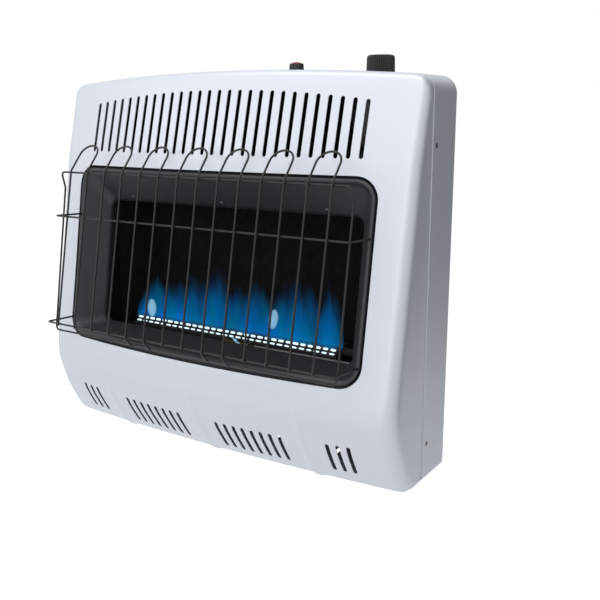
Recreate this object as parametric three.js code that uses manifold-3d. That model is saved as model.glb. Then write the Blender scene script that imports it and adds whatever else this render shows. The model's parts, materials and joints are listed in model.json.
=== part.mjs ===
// Wall mounted blue-flame gas heater, millimetres.
// X runs to the viewer's right, Y into the wall, Z up. "Depth" below is the distance out from the wall (-Y).
// Origin: middle of the wall bracket's back face. Heights below are measured from the casing's lowest point.
import * as THREE from "three";
import Module from "manifold-3d";

const wasm = await Module();
wasm.setup();

// ---------------------------------------------------------------- driving dimensions

const WIDTH = 698.5; // casing, side to side
const DEPTH = 247.65; // wall to the front of the guard
const HEIGHT = 641.35; // lowest point of the cover to the top of the knob
const GAP = 0.3; // clearance between neighbouring pieces
const SHEET = 1.2; // casing sheet
const LINER = 1.0; // fire box and bracket sheet
const HALF = WIDTH / 2;

const SHOULDER = HEIGHT - 30.85; // top of the casing at its sides
const HANG_Z = SHOULDER - 49.5; // height of the wall bracket's middle, the part's origin
const SEAM = 78.2; // depth of the joint between rear shell and front cover
const SHELL_BOTTOM = 6; // underside of the rear shell
const ARCH = 13.5; // rise of the top from side to middle
const TOP_CORNER = 25; // casing corner radius, seen from the front
const BOTTOM_CORNER = 9;
const BACK_PANEL = 8; // depth of the recessed back panel

const KINK_Z = SHOULDER - 127.7; // where the upper front starts to lean back
const KINK_DEPTH = 124.7; // front face there, at the sides
const UPPER_SLOPE = 0.257;
const MIDDLE_SLOPE = 0.1655;
const BOW = 28; // bulge of the front, side to middle
const LOW_BOW = 6; // extra bulge of the lower front
const TOP_ROUND = 11; // radius along the top front edge
const EDGE_ROUND = 17; // radius of the upright front edges
const RIB_HEIGHT = 2.2; // three soft upright ribs of the lower front
const RIB_WIDTH = 7;
const RIB_PITCH = 200;

const OPENING_HALF = HALF - 52.55; // fire opening in the cover
const OPENING_Z = [173.6, KINK_Z - 10.1];
const OPENING_CORNER = 35;
const THROAT_HALF = OPENING_HALF - 39.7; // inner end of the surround
const THROAT_Z = [OPENING_Z[0] + 18.8, OPENING_Z[1] - 63];
const THROAT_DEPTH = KINK_DEPTH - 22; // at the upper edge of the throat
const THROAT_CORNER = 14;
const RIM = 12; // width of the rolled rim
const TRIM = 1.3; // surround sheet

const SLOT_WIDTH = 6.8;
const UPPER_SLOTS = 28;
const UPPER_PITCH = (2 * OPENING_HALF - 64.2) / (UPPER_SLOTS - 1);
const UPPER_SLOT_Z = [KINK_Z + 13.2, SHOULDER - 15]; // lower end, and upper end in the middle
const UPPER_SLOT_DROP = 17.3; // how much lower the outer slots end
const LOWER_PITCH = 17.07;
const LOWER_INNER = 40.3; // first slot of the inner groups
const LOWER_OUTER = HALF - 108.35; // first slot of the outer groups
const LOWER_SLOT_Z = [26.5, 77.5];

const BURNER_HALF = THROAT_HALF - 45;
const PORTS = 30; // per row
const PORT_PITCH = (2 * BURNER_HALF - 4) / PORTS;

const HOOP_WIRE = 1.6; // radii
const FRAME_WIRE = 1.6;
const HOOPS = 7;
const LEAN = 0.193; // guard leans like the front behind it
const GUARD_FRONT = DEPTH - HOOP_WIRE + 0.16; // depth of the leg centres at the lower bend
const LOWER_BEND_Z = OPENING_Z[0] + 32.9;
const TOP_WIRE_Z = OPENING_Z[1] - 9.4;
const MIDDLE_WIRE_Z = TOP_WIRE_Z - 73.8;
const LOWER_WIRE_Z = LOWER_BEND_Z + 2.7;
const GUARD_HALF = OPENING_HALF - 12.9;
const LEG_PITCH = GUARD_HALF / (HOOPS + 0.2);
const FRAME_BEND_Z = TOP_WIRE_Z - 26.7;
const FRAME_BOTTOM_Z = OPENING_Z[0] + 19.2;
const FRAME_SETBACK = [15.2, 21.3]; // side wires behind the legs, upper bend and bottom
const HOLE_HALF = OPENING_HALF - 7.2; // where the guard enters the rim
const HOLE_Z = [LOWER_BEND_Z - 0.8, MIDDLE_WIRE_Z - 2.7];
const HOOP_TOP = [OPENING_Z[1] + 34.3, DEPTH - 85.65]; // height and depth of the hoop tops

const KNOB_X = HALF - 101.65;
const KNOB_DEPTH = 45; // also of the igniter
const KNOB_RADIUS = 21;
const KNOB_TRAVEL = 3;
const KNOB_FLUTES = 20;
const IGNITER_X = KNOB_X - 147.1;
const COLLAR_HEIGHT = 11.6;
const BUTTON_RADIUS = 7.5;
const BUTTON_TRAVEL = 4;
const SPINDLE = 4; // radius

const SUPPLY = [HALF - 57.25, KNOB_DEPTH]; // gas inlet, x and depth

const SCREW_DEPTH = 65.5; // side screws
const SCREW_Z = [66, SHOULDER - 96.5];

// ---------------------------------------------------------------- casing form

const clamp = (v, lo, hi) => Math.min(hi, Math.max(lo, v));

// Top of the casing at x; an inset gives the same curve for a smaller outline.
function topAt(x, inset = 0) {
  const arch = SHOULDER + ARCH * (1 - (x / HALF) ** 2) - inset;
  const r = TOP_CORNER - inset;
  const past = clamp(Math.abs(x) - (HALF - TOP_CORNER), 0, r);
  return arch - (r - Math.sqrt(r * r - past * past));
}

const bowAt = (x, z) => (BOW + LOW_BOW * clamp((300 - z) / 180, 0, 1)) * (1 - (x / HALF) ** 2);

// Depth of the flat zones of the front face.
function faceAt(x, z) {
  const slope = z > KINK_Z ? UPPER_SLOPE : MIDDLE_SLOPE;
  return KINK_DEPTH + (KINK_Z - z) * slope + bowAt(x, z);
}

function ribAt(x) {
  let h = 0;
  for (const c of [-RIB_PITCH, 0, RIB_PITCH]) h += Math.exp(-(((x - c) / RIB_WIDTH) ** 2));
  return RIB_HEIGHT * h;
}

// Lower front, from the seam forwards and up: depth and height at the sides, share of the bow,
// share of the ribs, edge radius.
const CHIN = [
  { d: SEAM + GAP, z: SHELL_BOTTOM, bow: 0, rib: 0, r: BOTTOM_CORNER },
  { d: 90, z: 3.2, bow: 0.2, rib: 0.2, r: 12.5 },
  { d: 104, z: 1.32, bow: 0.35, rib: 0.6, r: 16 },
  { d: 116, z: 2.7, bow: 0.42, rib: 1, r: 18 },
  { d: 124.5, z: 7, bow: 0.48, rib: 1, r: 20 },
  { d: 131, z: 13, bow: 0.54, rib: 1, r: 21 },
  { d: 140, z: 25, bow: 0.62, rib: 1, r: 21 },
  { d: 160, z: 64, bow: 0.8, rib: 1, r: 21 },
  { d: 170.4, z: 93, bow: 0.89, rib: 0.9, r: 21 },
  { d: 180, z: 128, bow: 1, rib: 0.6, r: 21 },
];

// ---------------------------------------------------------------- geometry helpers

// Closed geometry from points and triangles: equal points are welded, and it faces outwards.
function closed(points, triangles) {
  const seen = new Map();
  const position = [];
  const index = points.map((p) => {
    const key = p.map((v) => Math.round(v * 2000)).join();
    if (!seen.has(key)) {
      seen.set(key, position.length / 3);
      position.push(...p);
    }
    return seen.get(key);
  });
  const faces = triangles
    .map((t) => t.map((i) => index[i]))
    .filter(([a, b, c]) => a !== b && b !== c && c !== a);
  const at = (i) => new THREE.Vector3().fromArray(position, 3 * i);
  const volume = faces.reduce((sum, [a, b, c]) => sum + at(a).dot(at(b).cross(at(c))), 0);
  const geometry = new THREE.BufferGeometry();
  geometry.setAttribute("position", new THREE.Float32BufferAttribute(position, 3));
  geometry.setIndex((volume < 0 ? faces.map(([a, b, c]) => [a, c, b]) : faces).flat());
  return geometry;
}

function toSolid(geometry) {
  return new wasm.Manifold(
    new wasm.Mesh({
      numProp: 3,
      vertProperties: geometry.attributes.position.array,
      triVerts: new Uint32Array(geometry.index.array),
    }),
  );
}

function toGeometry(solid) {
  const mesh = solid.getMesh();
  const geometry = new THREE.BufferGeometry();
  geometry.setAttribute("position", new THREE.Float32BufferAttribute(mesh.vertProperties, 3));
  geometry.setIndex(new THREE.Uint32BufferAttribute(mesh.triVerts, 1));
  return geometry;
}

const cut = (base, ...tools) =>
  toGeometry(toSolid(base).subtract(wasm.Manifold.union(tools.flat().map(toSolid))));
const join = (...pieces) => toGeometry(wasm.Manifold.union(pieces.flat().map(toSolid)));

// Where a prism or a turned form lies: u, v across it, t along it.
const ALONG_X = (u, v, t) => [t, -u, v]; // u is depth, v is height
const ALONG_Y = (u, v, t) => [u, -t, v]; // t is depth
const ALONG_Z = (u, v, t) => [u, -v, t]; // v is depth

function prism(outline, from, to, place) {
  const n = outline.length;
  const contour = outline.map(([u, v]) => new THREE.Vector2(u, v));
  const cap = THREE.ShapeUtils.triangulateShape(contour, []);
  const points = [from, to].flatMap((t) => outline.map(([u, v]) => place(u, v, t)));
  const turnsLeft = !THREE.ShapeUtils.isClockWise(contour);
  const triangles = [];
  for (const [a, b, c] of cap) {
    triangles.push([a, c, b], [n + a, n + b, n + c]);
  }
  for (let i = 0; i < n; i++) {
    const j = (i + 1) % n;
    if (turnsLeft) triangles.push([i, j, n + j], [i, n + j, n + i]);
    else triangles.push([j, i, n + i], [j, n + i, n + j]);
  }
  return closed(points, triangles);
}

const box = (x0, x1, d0, d1, z0, z1) =>
  prism([[x0, z0], [x1, z0], [x1, z1], [x0, z1]], d0, d1, ALONG_Y);

// Rings of equally many points, joined in order; the ends are capped unless the rings close up.
function rings(list, loop = false) {
  const n = list[0].length;
  const points = list.flat();
  const triangles = [];
  const spans = loop ? list.length : list.length - 1;
  for (let k = 0; k < spans; k++) {
    const a = k * n;
    const b = ((k + 1) % list.length) * n;
    for (let i = 0; i < n; i++) {
      const j = (i + 1) % n;
      triangles.push([a + i, a + j, b + j], [a + i, b + j, b + i]);
    }
  }
  if (!loop) {
    const last = (list.length - 1) * n;
    for (let i = 1; i < n - 1; i++) {
      triangles.push([0, i + 1, i], [last, last + i, last + i + 1]);
    }
  }
  return closed(points, triangles);
}

// Turned form: profile of [radius, position along the axis], axis through (u, v).
function turned(profile, u, v, place, sides = 20) {
  return rings(
    profile.map(([r, t]) =>
      Array.from({ length: sides }, (_, i) => {
        const a = (2 * Math.PI * i) / sides;
        return place(u + r * Math.cos(a), v + r * Math.sin(a), t);
      }),
    ),
  );
}

const rod = (r, t0, t1, u, v, place, sides = 16) => turned([[r, t0], [r, t1]], u, v, place, sides);

// Polyline through [x, depth, height] points with its corners rounded.
function bent(points, radius, steps = 4) {
  const p = points.map(([x, d, z]) => new THREE.Vector3(x, -d, z));
  const path = [p[0]];
  for (let i = 1; i < p.length - 1; i++) {
    const back = p[i - 1].clone().sub(p[i]);
    const ahead = p[i + 1].clone().sub(p[i]);
    const most = 0.48 * Math.min(back.length(), ahead.length());
    const reach = Math.min(radius / Math.tan(back.angleTo(ahead) / 2), most);
    const a = p[i].clone().addScaledVector(back.normalize(), reach);
    const b = p[i].clone().addScaledVector(ahead.normalize(), reach);
    for (let k = 0; k <= steps; k++) {
      const t = k / steps;
      const q = a.clone().lerp(p[i], t).lerp(p[i].clone().lerp(b, t), t);
      path.push(q);
    }
  }
  path.push(p[p.length - 1]);
  return path;
}

// Round wire or tube along a path of points; a closed path makes an endless ring.
function wire(path, radius, sides = 8, loop = false) {
  const n = path.length;
  const tangent = path.map((_, i) => {
    const before = path[loop ? (i + n - 1) % n : Math.max(i - 1, 0)];
    const after = path[loop ? (i + 1) % n : Math.min(i + 1, n - 1)];
    return after.clone().sub(before).normalize();
  });
  const first = Math.abs(tangent[0].z) < 0.9 ? new THREE.Vector3(0, 0, 1) : new THREE.Vector3(0, 1, 0);
  const normal = first.clone().addScaledVector(tangent[0], -first.dot(tangent[0])).normalize();
  const list = path.map((p, i) => {
    normal.addScaledVector(tangent[i], -normal.dot(tangent[i])).normalize();
    const side = tangent[i].clone().cross(normal);
    return Array.from({ length: sides }, (_, k) => {
      const a = (2 * Math.PI * k) / sides;
      return p
        .clone()
        .addScaledVector(normal, radius * Math.cos(a))
        .addScaledVector(side, radius * Math.sin(a))
        .toArray();
    });
  });
  return rings(list, loop);
}

// Closed outline of a bent sheet, from the polyline of one of its faces.
function sheetOutline(line, thickness) {
  const away = (a, b) => {
    const l = Math.hypot(b[0] - a[0], b[1] - a[1]);
    return [-(b[1] - a[1]) / l, (b[0] - a[0]) / l];
  };
  const back = line.map((p, i) => {
    const n0 = away(line[Math.max(i - 1, 0)], line[Math.max(i, 1)]);
    const n1 = away(line[Math.min(i, line.length - 2)], line[Math.min(i + 1, line.length - 1)]);
    const scale = thickness / (1 + n0[0] * n1[0] + n0[1] * n1[1]);
    return [p[0] + (n0[0] + n1[0]) * scale, p[1] + (n0[1] + n1[1]) * scale];
  });
  return [...line, ...back.reverse()];
}

// Outline of the casing seen from the front.
function casingOutline(inset) {
  const hw = HALF - inset;
  const steps = [-1, -0.75, -0.5, -0.25, 0, 0.25, 0.5, 0.75, 1];
  const turns = [15, 30, 45, 60, 75, 90].map(THREE.MathUtils.degToRad);
  const top = steps.map((s) => s * (HALF - TOP_CORNER));
  const side = turns.map((a) => HALF - TOP_CORNER + (TOP_CORNER - inset) * Math.sin(a));
  const xs = [...side.map((x) => -x).reverse(), ...top, ...side];
  const upper = xs.map((x) => [x, topAt(x, inset)]);
  const r = BOTTOM_CORNER - inset;
  const lower = [0, 30, 60, 90].map(THREE.MathUtils.degToRad).map((a) => [
    hw - r + r * Math.cos(a),
    SHELL_BOTTOM + inset + r - r * Math.sin(a),
  ]);
  return [...upper, ...lower, ...lower.map(([x, z]) => [-x, z]).reverse()];
}

// Upright slot outline with round ends.
function slotOutline(x, z0, z1, width = SLOT_WIDTH) {
  const r = width / 2;
  const ends = [0, 90, 180].map(THREE.MathUtils.degToRad);
  return [
    ...ends.map((a) => [x + r * Math.cos(a), z1 - r + r * Math.sin(a)]),
    ...ends.map((a) => [x - r * Math.cos(a), z0 + r - r * Math.sin(a)]),
  ];
}

// Rounded rectangle as a loop with a fixed number of points, so that two of them can be joined.
function roundedLoop(half, z0, z1, r) {
  const loop = [];
  const side = (from, to, n) => {
    for (let i = 1; i < n; i++) {
      loop.push([from[0] + ((to[0] - from[0]) * i) / n, from[1] + ((to[1] - from[1]) * i) / n]);
    }
  };
  const corner = (x, z, start) => {
    for (let k = 0; k <= 6; k++) {
      const a = THREE.MathUtils.degToRad(start + 15 * k);
      loop.push([x + r * Math.cos(a), z + r * Math.sin(a)]);
    }
  };
  corner(half - r, z1 - r, 0);
  side([half - r, z1], [r - half, z1], 10);
  corner(r - half, z1 - r, 90);
  side([-half, z1 - r], [-half, z0 + r], 3);
  corner(r - half, z0 + r, 180);
  side([r - half, z0], [half - r, z0], 10);
  corner(half - r, z0 + r, 270);
  side([half, z0 + r], [half, z1 - r], 3);
  return loop;
}

// ---------------------------------------------------------------- scene

const part = new THREE.Group();
part.name = "wall_gas_heater";

const FINISH = {
  white_enamel: { color: 0xdde1e9, roughness: 0.25, metalness: 0 },
  surround_black: { color: 0x37373c, roughness: 0.5, metalness: 0.2 },
  firebox_black: { color: 0x101012, roughness: 0.8, metalness: 0.2 },
  guard_black: { color: 0x1b1b1e, roughness: 0.45, metalness: 0.2 },
  burner_steel: { color: 0x6d7074, roughness: 0.5, metalness: 0.9 },
  zinc: { color: 0xb9bcc0, roughness: 0.35, metalness: 1 },
  galvanised: { color: 0x9da2a6, roughness: 0.55, metalness: 0.9 },
  brass: { color: 0xb5944b, roughness: 0.35, metalness: 1 },
  aluminium: { color: 0xc4c6c9, roughness: 0.4, metalness: 1 },
  copper: { color: 0xb0653f, roughness: 0.35, metalness: 1 },
  knob_black: { color: 0x1f1f21, roughness: 0.55, metalness: 0 },
  button_red: { color: 0xb5391f, roughness: 0.4, metalness: 0 },
  ceramic: { color: 0xe9e4d8, roughness: 0.4, metalness: 0 },
  lead_red: { color: 0x8e2c22, roughness: 0.6, metalness: 0 },
};
for (const [name, look] of Object.entries(FINISH)) {
  FINISH[name] = new THREE.MeshStandardMaterial({ name, ...look });
}

function add(name, geometry, finish) {
  const flat = geometry.toNonIndexed();
  flat.computeVertexNormals();
  const mesh = new THREE.Mesh(flat, FINISH[finish]);
  mesh.name = name;
  mesh.position.z = -HANG_Z;
  part.add(mesh);
}

// ---------------------------------------------------------------- rear shell and front cover

const frontEdge = (x, inset) => {
  const z = topAt(x, 0) - TOP_ROUND;
  return faceAt(x, z) - TOP_ROUND * Math.hypot(1, UPPER_SLOPE);
};

// One row of the cover: depth and height at x, for the outer face or one set in by the sheet.
function coverRows() {
  const rows = CHIN.map((c, i) => {
    const a = CHIN[Math.max(i - 1, 0)];
    const b = CHIN[Math.min(i + 1, CHIN.length - 1)];
    const l = Math.hypot(b.d - a.d, b.z - a.z);
    const n = i === 0 ? [0, -1] : [(b.z - a.z) / l, -(b.d - a.d) / l];
    return {
      r: c.r,
      n,
      at: (x, inset) => {
        const rib = ribAt(x) * c.rib - inset;
        return [c.d + bowAt(x, 100) * c.bow + n[0] * rib, c.z + n[1] * rib];
      },
    };
  });
  const plain = (z, rib, r) => ({ r, at: (x, inset) => [faceAt(x, z) + ribAt(x) * rib - inset, z] });
  rows.push(plain(150, 0.35, 21), plain(190, 0, 19), plain(KINK_Z, 0, EDGE_ROUND));
  const lean = Math.atan(UPPER_SLOPE);
  for (const share of [0, 0.33, 0.67, 1]) {
    const a = lean + (Math.PI / 2 - lean) * share;
    rows.push({
      r: EDGE_ROUND - 3,
      at: (x, inset) => [
        frontEdge(x) + (TOP_ROUND - inset) * Math.cos(a),
        topAt(x, inset) - (TOP_ROUND - inset) * (1 - Math.sin(a)),
      ],
    });
  }
  rows.push({ r: EDGE_ROUND - 3, at: (x, inset) => [SEAM + GAP, topAt(x, inset)] });
  return rows;
}

function coverSkin(inset) {
  const flat = [326, 290, 250, 213, 206, 200, 194, 187, 140, 75, 13, 6].map((x) => x / 328);
  const across = [-1, ...flat.map((x) => -x), 0, ...[...flat].reverse(), 1];
  const turns = [22.5, 45, 67.5, 90].map(THREE.MathUtils.degToRad);
  const hw = HALF - inset;
  return coverRows().map((row) => {
    const r = row.r - inset;
    const at = (x, turn) => {
      const [d, z] = row.at(x, inset);
      const back = r * (1 - Math.cos(turn));
      if (row.n) return [x, -(d - row.n[0] * back), z - row.n[1] * back];
      return [x, -(d - Math.min(r, d - SEAM - GAP) * (1 - Math.cos(turn))), z];
    };
    const bend = turns.map((a) => [hw - r + r * Math.sin(a), a]);
    const points = [
      ...bend.map(([x, a]) => at(-x, a)).reverse(),
      ...across.map((s) => at(s * (hw - r), 0)),
      ...bend.map(([x, a]) => at(x, a)),
    ];
    const ends = [points[0], points[points.length - 1]].map(([x, , z]) => [x, -(SEAM + GAP), z]);
    return [ends[0], ...points, ends[1]];
  });
}

// Thin shell between an outer and an inner grid of equally many rows and columns.
function shell(outer, inner) {
  const rows = outer.length;
  const cols = outer[0].length;
  const points = [...outer.flat(), ...inner.flat()];
  const o = (i, j) => i * cols + j;
  const q = (i, j) => (rows + i) * cols + j;
  const triangles = [];
  for (let i = 0; i < rows - 1; i++) {
    for (let j = 0; j < cols - 1; j++) {
      triangles.push([o(i, j), o(i, j + 1), o(i + 1, j + 1)], [o(i, j), o(i + 1, j + 1), o(i + 1, j)]);
      triangles.push([q(i, j), q(i + 1, j + 1), q(i, j + 1)], [q(i, j), q(i + 1, j), q(i + 1, j + 1)]);
    }
  }
  const rim = (a, b) => {
    triangles.push([o(...a), q(...a), q(...b)], [o(...a), q(...b), o(...b)]);
  };
  for (let j = 0; j < cols - 1; j++) {
    rim([0, j], [0, j + 1]);
    rim([rows - 1, j + 1], [rows - 1, j]);
  }
  for (let i = 0; i < rows - 1; i++) {
    rim([i + 1, 0], [i, 0]);
    rim([i, cols - 1], [i + 1, cols - 1]);
  }
  return closed(points, triangles);
}

const casing = (inset, d0, d1) => prism(casingOutline(inset), d0, d1, ALONG_Y);
const band = (outside, inside, d0, d1) => cut(casing(outside, d0, d1), casing(inside, d0 - 1, d1 + 1));

const slotTools = [];
for (let i = 0; i < UPPER_SLOTS; i++) {
  const x = (i - (UPPER_SLOTS - 1) / 2) * UPPER_PITCH;
  const top = UPPER_SLOT_Z[1] - UPPER_SLOT_DROP * (x / 265) ** 2;
  slotTools.push(prism(slotOutline(x, UPPER_SLOT_Z[0], top), 90, 170, ALONG_Y));
}
for (const [first, count] of [[LOWER_INNER, 8], [LOWER_OUTER, 3]]) {
  for (let i = 0; i < count; i++) {
    for (const side of [-1, 1]) {
      const x = side * (first + i * LOWER_PITCH);
      const lift = 5 * (x / 270) ** 2;
      const outline = slotOutline(x, LOWER_SLOT_Z[0] + lift, LOWER_SLOT_Z[1] + lift);
      slotTools.push(prism(outline, 110, 225, ALONG_Y));
    }
  }
}
const openingTool = prism(
  roundedLoop(OPENING_HALF, ...OPENING_Z, OPENING_CORNER),
  100,
  230,
  ALONG_Y,
);
const screwBores = [];
for (const side of [-1, 1]) {
  for (const z of SCREW_Z) {
    const [deep, out] = [side * (HALF - 8), side * HALF];
    screwBores.push(
      turned([[2.1, deep], [2.1, out - side * 1.9], [4.3, out + side * 0.1]], SCREW_DEPTH, z, ALONG_X, 10),
    );
  }
}
// The knob sinks into a round hole in the top when it is pushed; the igniter's stem has a small one.
const topBores = [
  rod(KNOB_RADIUS + 1.2, SHOULDER - 12, HEIGHT, KNOB_X, KNOB_DEPTH, ALONG_Z, 32),
  rod(4.7, SHOULDER - 12, HEIGHT, IGNITER_X, KNOB_DEPTH, ALONG_Z),
];
const LIP = [SHEET + GAP + 0.1, 2 * SHEET + GAP + 0.1];
const lip = join(
  band(...LIP, SEAM - 22, SEAM + 3),
  band(SHEET / 2, LIP[1], SEAM + GAP + 0.2, SEAM + 3),
);
add(
  "front_cover",
  cut(join(shell(coverSkin(0), coverSkin(SHEET)), lip), slotTools, openingTool, screwBores, topBores),
  "white_enamel",
);

const pipeHole = rod(15, 0, 12, ...SUPPLY, ALONG_Z);
const vents = [];
for (let i = -3; i <= 3; i++) {
  vents.push(prism(slotOutline(i * 60, 22, 62, 9), 0, 20, ALONG_Z));
  vents.push(box(i * 60 - 20, i * 60 + 20, 0, 20, 92, 98));
}
const hookSlots = [-150, 150].map((x) => box(x - 24, x + 24, 0, 20, HANG_Z - 10, HANG_Z - 2));
add(
  "rear_shell",
  cut(
    casing(0, 0, SEAM),
    casing(SHEET, -1, BACK_PANEL),
    casing(SHEET, BACK_PANEL + SHEET, SEAM + 1),
    topBores,
    pipeHole,
    vents,
    hookSlots,
    screwBores,
  ),
  "white_enamel",
);

for (const [side, hand] of [[-1, "left"], [1, "right"]]) {
  SCREW_Z.forEach((z, i) => {
    const out = side * HALF;
    const profile = [[1.7, out - side * 6.5], [1.7, out - side * 1.9], [3.8, out]];
    const slot = [out - side * 0.8, out + side].sort((a, b) => a - b);
    add(
      `side_screw_${hand}_${["lower", "upper"][i]}`,
      cut(
        turned(profile, SCREW_DEPTH, z, ALONG_X, 10),
        box(...slot, SCREW_DEPTH - 2.8, SCREW_DEPTH + 2.8, z - 0.5, z + 0.5),
      ),
      "zinc",
    );
  });
}

// ---------------------------------------------------------------- fire surround

// Cross-section from the gap behind the cover over the rolled rim: distance in from the cut edge,
// and height over the face.
const RIM_LINE = [[-6, -9], [3, -9], [4, -1], [7.6, 0.6], [RIM, -4]];
const throatAt = (z) => THROAT_DEPTH + (THROAT_Z[1] - z) * MIDDLE_SLOPE * 0.96;

function surround() {
  const section = sheetOutline(RIM_LINE, -TRIM);
  const rim = ([s, h]) =>
    roundedLoop(OPENING_HALF - s, OPENING_Z[0] + s, OPENING_Z[1] - s, OPENING_CORNER - s)
      .map(([x, z]) => [x, -(faceAt(x, z) + h), z]);
  const throat = (out, back) =>
    roundedLoop(THROAT_HALF + out, THROAT_Z[0] - out, THROAT_Z[1] + out, THROAT_CORNER + out)
      .map(([x, z]) => [x, -(throatAt(z) - back), z]);
  const n = RIM_LINE.length;
  return rings(
    [
      ...section.slice(0, n).map(rim),
      throat(0, 0),
      throat(0, 9),
      throat(TRIM, 9),
      throat(TRIM, 1),
      ...section.slice(n).map(rim),
    ],
    true,
  );
}

// The three screws stand square on the upper wall of the surround.
const DEFLECTOR_SCREWS = [-197.5, 0, 197.5].map((x) => {
  const top = [faceAt(x, OPENING_Z[1] - RIM) - 4, OPENING_Z[1] - RIM];
  const low = [throatAt(THROAT_Z[1]), THROAT_Z[1]];
  const share = 0.19;
  const l = Math.hypot(top[0] - low[0], top[1] - low[1]);
  const axis = [(top[1] - low[1]) / l, -(top[0] - low[0]) / l];
  const d = low[0] + (top[0] - low[0]) * share;
  const z = low[1] + (top[1] - low[1]) * share;
  return (u, v, t) => [x + u, -(d + axis[0] * t - axis[1] * v), z + axis[1] * t + axis[0] * v];
});
const guardBores = [];
for (const side of [-1, 1]) {
  for (const z of HOLE_Z) {
    guardBores.push(rod(FRAME_WIRE + 0.4, 130, 210, side * HOLE_HALF, z, ALONG_Y, 10));
  }
}
add(
  "fire_surround",
  cut(surround(), guardBores, DEFLECTOR_SCREWS.map((place) => rod(2, -6, 6, 0, 0, place, 8))),
  "surround_black",
);
DEFLECTOR_SCREWS.forEach((place, i) => {
  const profile = [[1.6, -6], [1.6, 0.6], [3.8, 0.6], [3.8, 1.4], [2.4, 2.4]];
  add(`surround_screw_${i + 1}`, turned(profile, 0, 0, place, 10), "zinc");
});

// ---------------------------------------------------------------- fire box and heat path

const BOX_HALF = THROAT_HALF + TRIM + GAP + 0.1;
const BOX_BACK = 34;
const BOX_BACK_HALF = BOX_HALF - 44.4;
const BOX_CORNER = 92;
const BOX_Z = [180, THROAT_Z[1] + 42.3];
const FIRE_FRONT = throatAt(THROAT_Z[0]); // depth of the throat's lower edge
const BURNER_BACK = FIRE_FRONT - 71.2;
const FEED = [BURNER_BACK + 18, 194.5]; // depth and height of the gas inlet
const boxLine = [
  [-BOX_HALF, 175],
  [-BOX_HALF, BOX_CORNER],
  [-BOX_BACK_HALF, BOX_BACK],
  [BOX_BACK_HALF, BOX_BACK],
  [BOX_HALF, BOX_CORNER],
  [BOX_HALF, 175],
];
const throatPlane = (back) =>
  prism(
    [[throatAt(100) - back, 100], [throatAt(SHOULDER) - back, SHOULDER], [DEPTH, SHOULDER], [DEPTH, 100]],
    -HALF,
    HALF,
    ALONG_X,
  );
const TUBE_PASS = box(BOX_HALF - 22.7, BOX_HALF + 9.3, FEED[0] - 8, FIRE_FRONT - 8.2, 184.6, 206);
add(
  "firebox",
  cut(prism(sheetOutline(boxLine, -LINER), ...BOX_Z, ALONG_Z), throatPlane(2.2), TUBE_PASS),
  "firebox_black",
);

const FLOOR_Z = 182;
const FLOOR_END = FIRE_FRONT - 7.2;
const floorLine = [
  [BOX_BACK + 1, FLOOR_Z],
  [FLOOR_END, FLOOR_Z],
  [FLOOR_END, THROAT_Z[0] - TRIM - GAP - 0.2],
];
const FLARE = (BOX_HALF - BOX_BACK_HALF) / (BOX_CORNER - BOX_BACK);
const floorCorner = (side) =>
  prism(
    [
      [BOX_BACK_HALF - 0.6 - 14 * FLARE, BOX_BACK - 14],
      [BOX_HALF + 5, BOX_BACK - 14],
      [BOX_HALF + 5, 180],
      [BOX_HALF - 0.6, 180],
      [BOX_HALF - 0.6, BOX_CORNER],
    ].map(([x, d]) => [side * x, d]),
    150,
    220,
    ALONG_Z,
  );
add(
  "firebox_floor",
  cut(prism(sheetOutline(floorLine, LINER), -BOX_HALF, BOX_HALF, ALONG_X), floorCorner(-1), floorCorner(1)),
  "firebox_black",
);

const HOOD_HALF = KNOB_X - 36.6; // clear of the gas valve
const HOOD_FOOT = BOX_Z[1] + GAP;
const hoodLine = [
  [BOX_BACK, HOOD_FOOT],
  [BOX_BACK, HOOD_FOOT + 18],
  [66, SHOULDER - 62.5],
  [88, SHOULDER - 4.5],
];
const cheek = [
  [BOX_BACK + 0.5, HOOD_FOOT],
  [BOX_BACK + 0.5, HOOD_FOOT + 18],
  [66.5, SHOULDER - 62.5],
  [88.5, SHOULDER - 5],
  [100, SHOULDER - 8.5],
  [116, SHOULDER - 90.5],
  [104, HOOD_FOOT],
];
add(
  "heat_hood",
  join(
    prism(sheetOutline(hoodLine, -LINER), -HOOD_HALF, HOOD_HALF, ALONG_X),
    prism(cheek, -HOOD_HALF, -HOOD_HALF + LINER, ALONG_X),
    prism(cheek, HOOD_HALF - LINER, HOOD_HALF, ALONG_X),
  ),
  "firebox_black",
);

const PANEL_FACE = BACK_PANEL + SHEET + GAP;
const SHIELD_HALF = BOX_BACK_HALF - 24;
const shieldLine = [
  [-SHIELD_HALF, PANEL_FACE],
  [-SHIELD_HALF, 20],
  [SHIELD_HALF, 20],
  [SHIELD_HALF, PANEL_FACE],
];
add(
  "rear_heat_shield",
  prism(sheetOutline(shieldLine, LINER), BOX_Z[0] + 25, BOX_Z[1] - 12, ALONG_Z),
  "galvanised",
);

for (const [side, hand] of [[-1, "left"], [1, "right"]]) {
  const rear = BOX_BACK - LINER - GAP;
  const inner = BOX_BACK_HALF - 20;
  const front = PANEL_FACE + LINER;
  const line = [[inner, rear], [inner + 14, rear], [inner + 14, front], [inner + 36, front]];
  const outline = sheetOutline(line, -LINER).map(([x, d]) => [side * x, d]);
  add(`firebox_bracket_${hand}`, prism(outline, BOX_Z[0] + 35, BOX_Z[1] - 22, ALONG_Z), "galvanised");
}

// ---------------------------------------------------------------- burner

const fromBack = ([d, z]) => [BURNER_BACK + d, z];
const BURNER_SECTION = [[0, 184], [41, 184], [41, 191], [29, 204.5], [0, 204.5]].map(fromBack);
const BURNER_BORE = [[1.2, 185.2], [39.8, 185.2], [39.8, 190.5], [28.4, 203.3], [1.2, 203.3]].map(fromBack);

const portTools = [];
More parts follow.
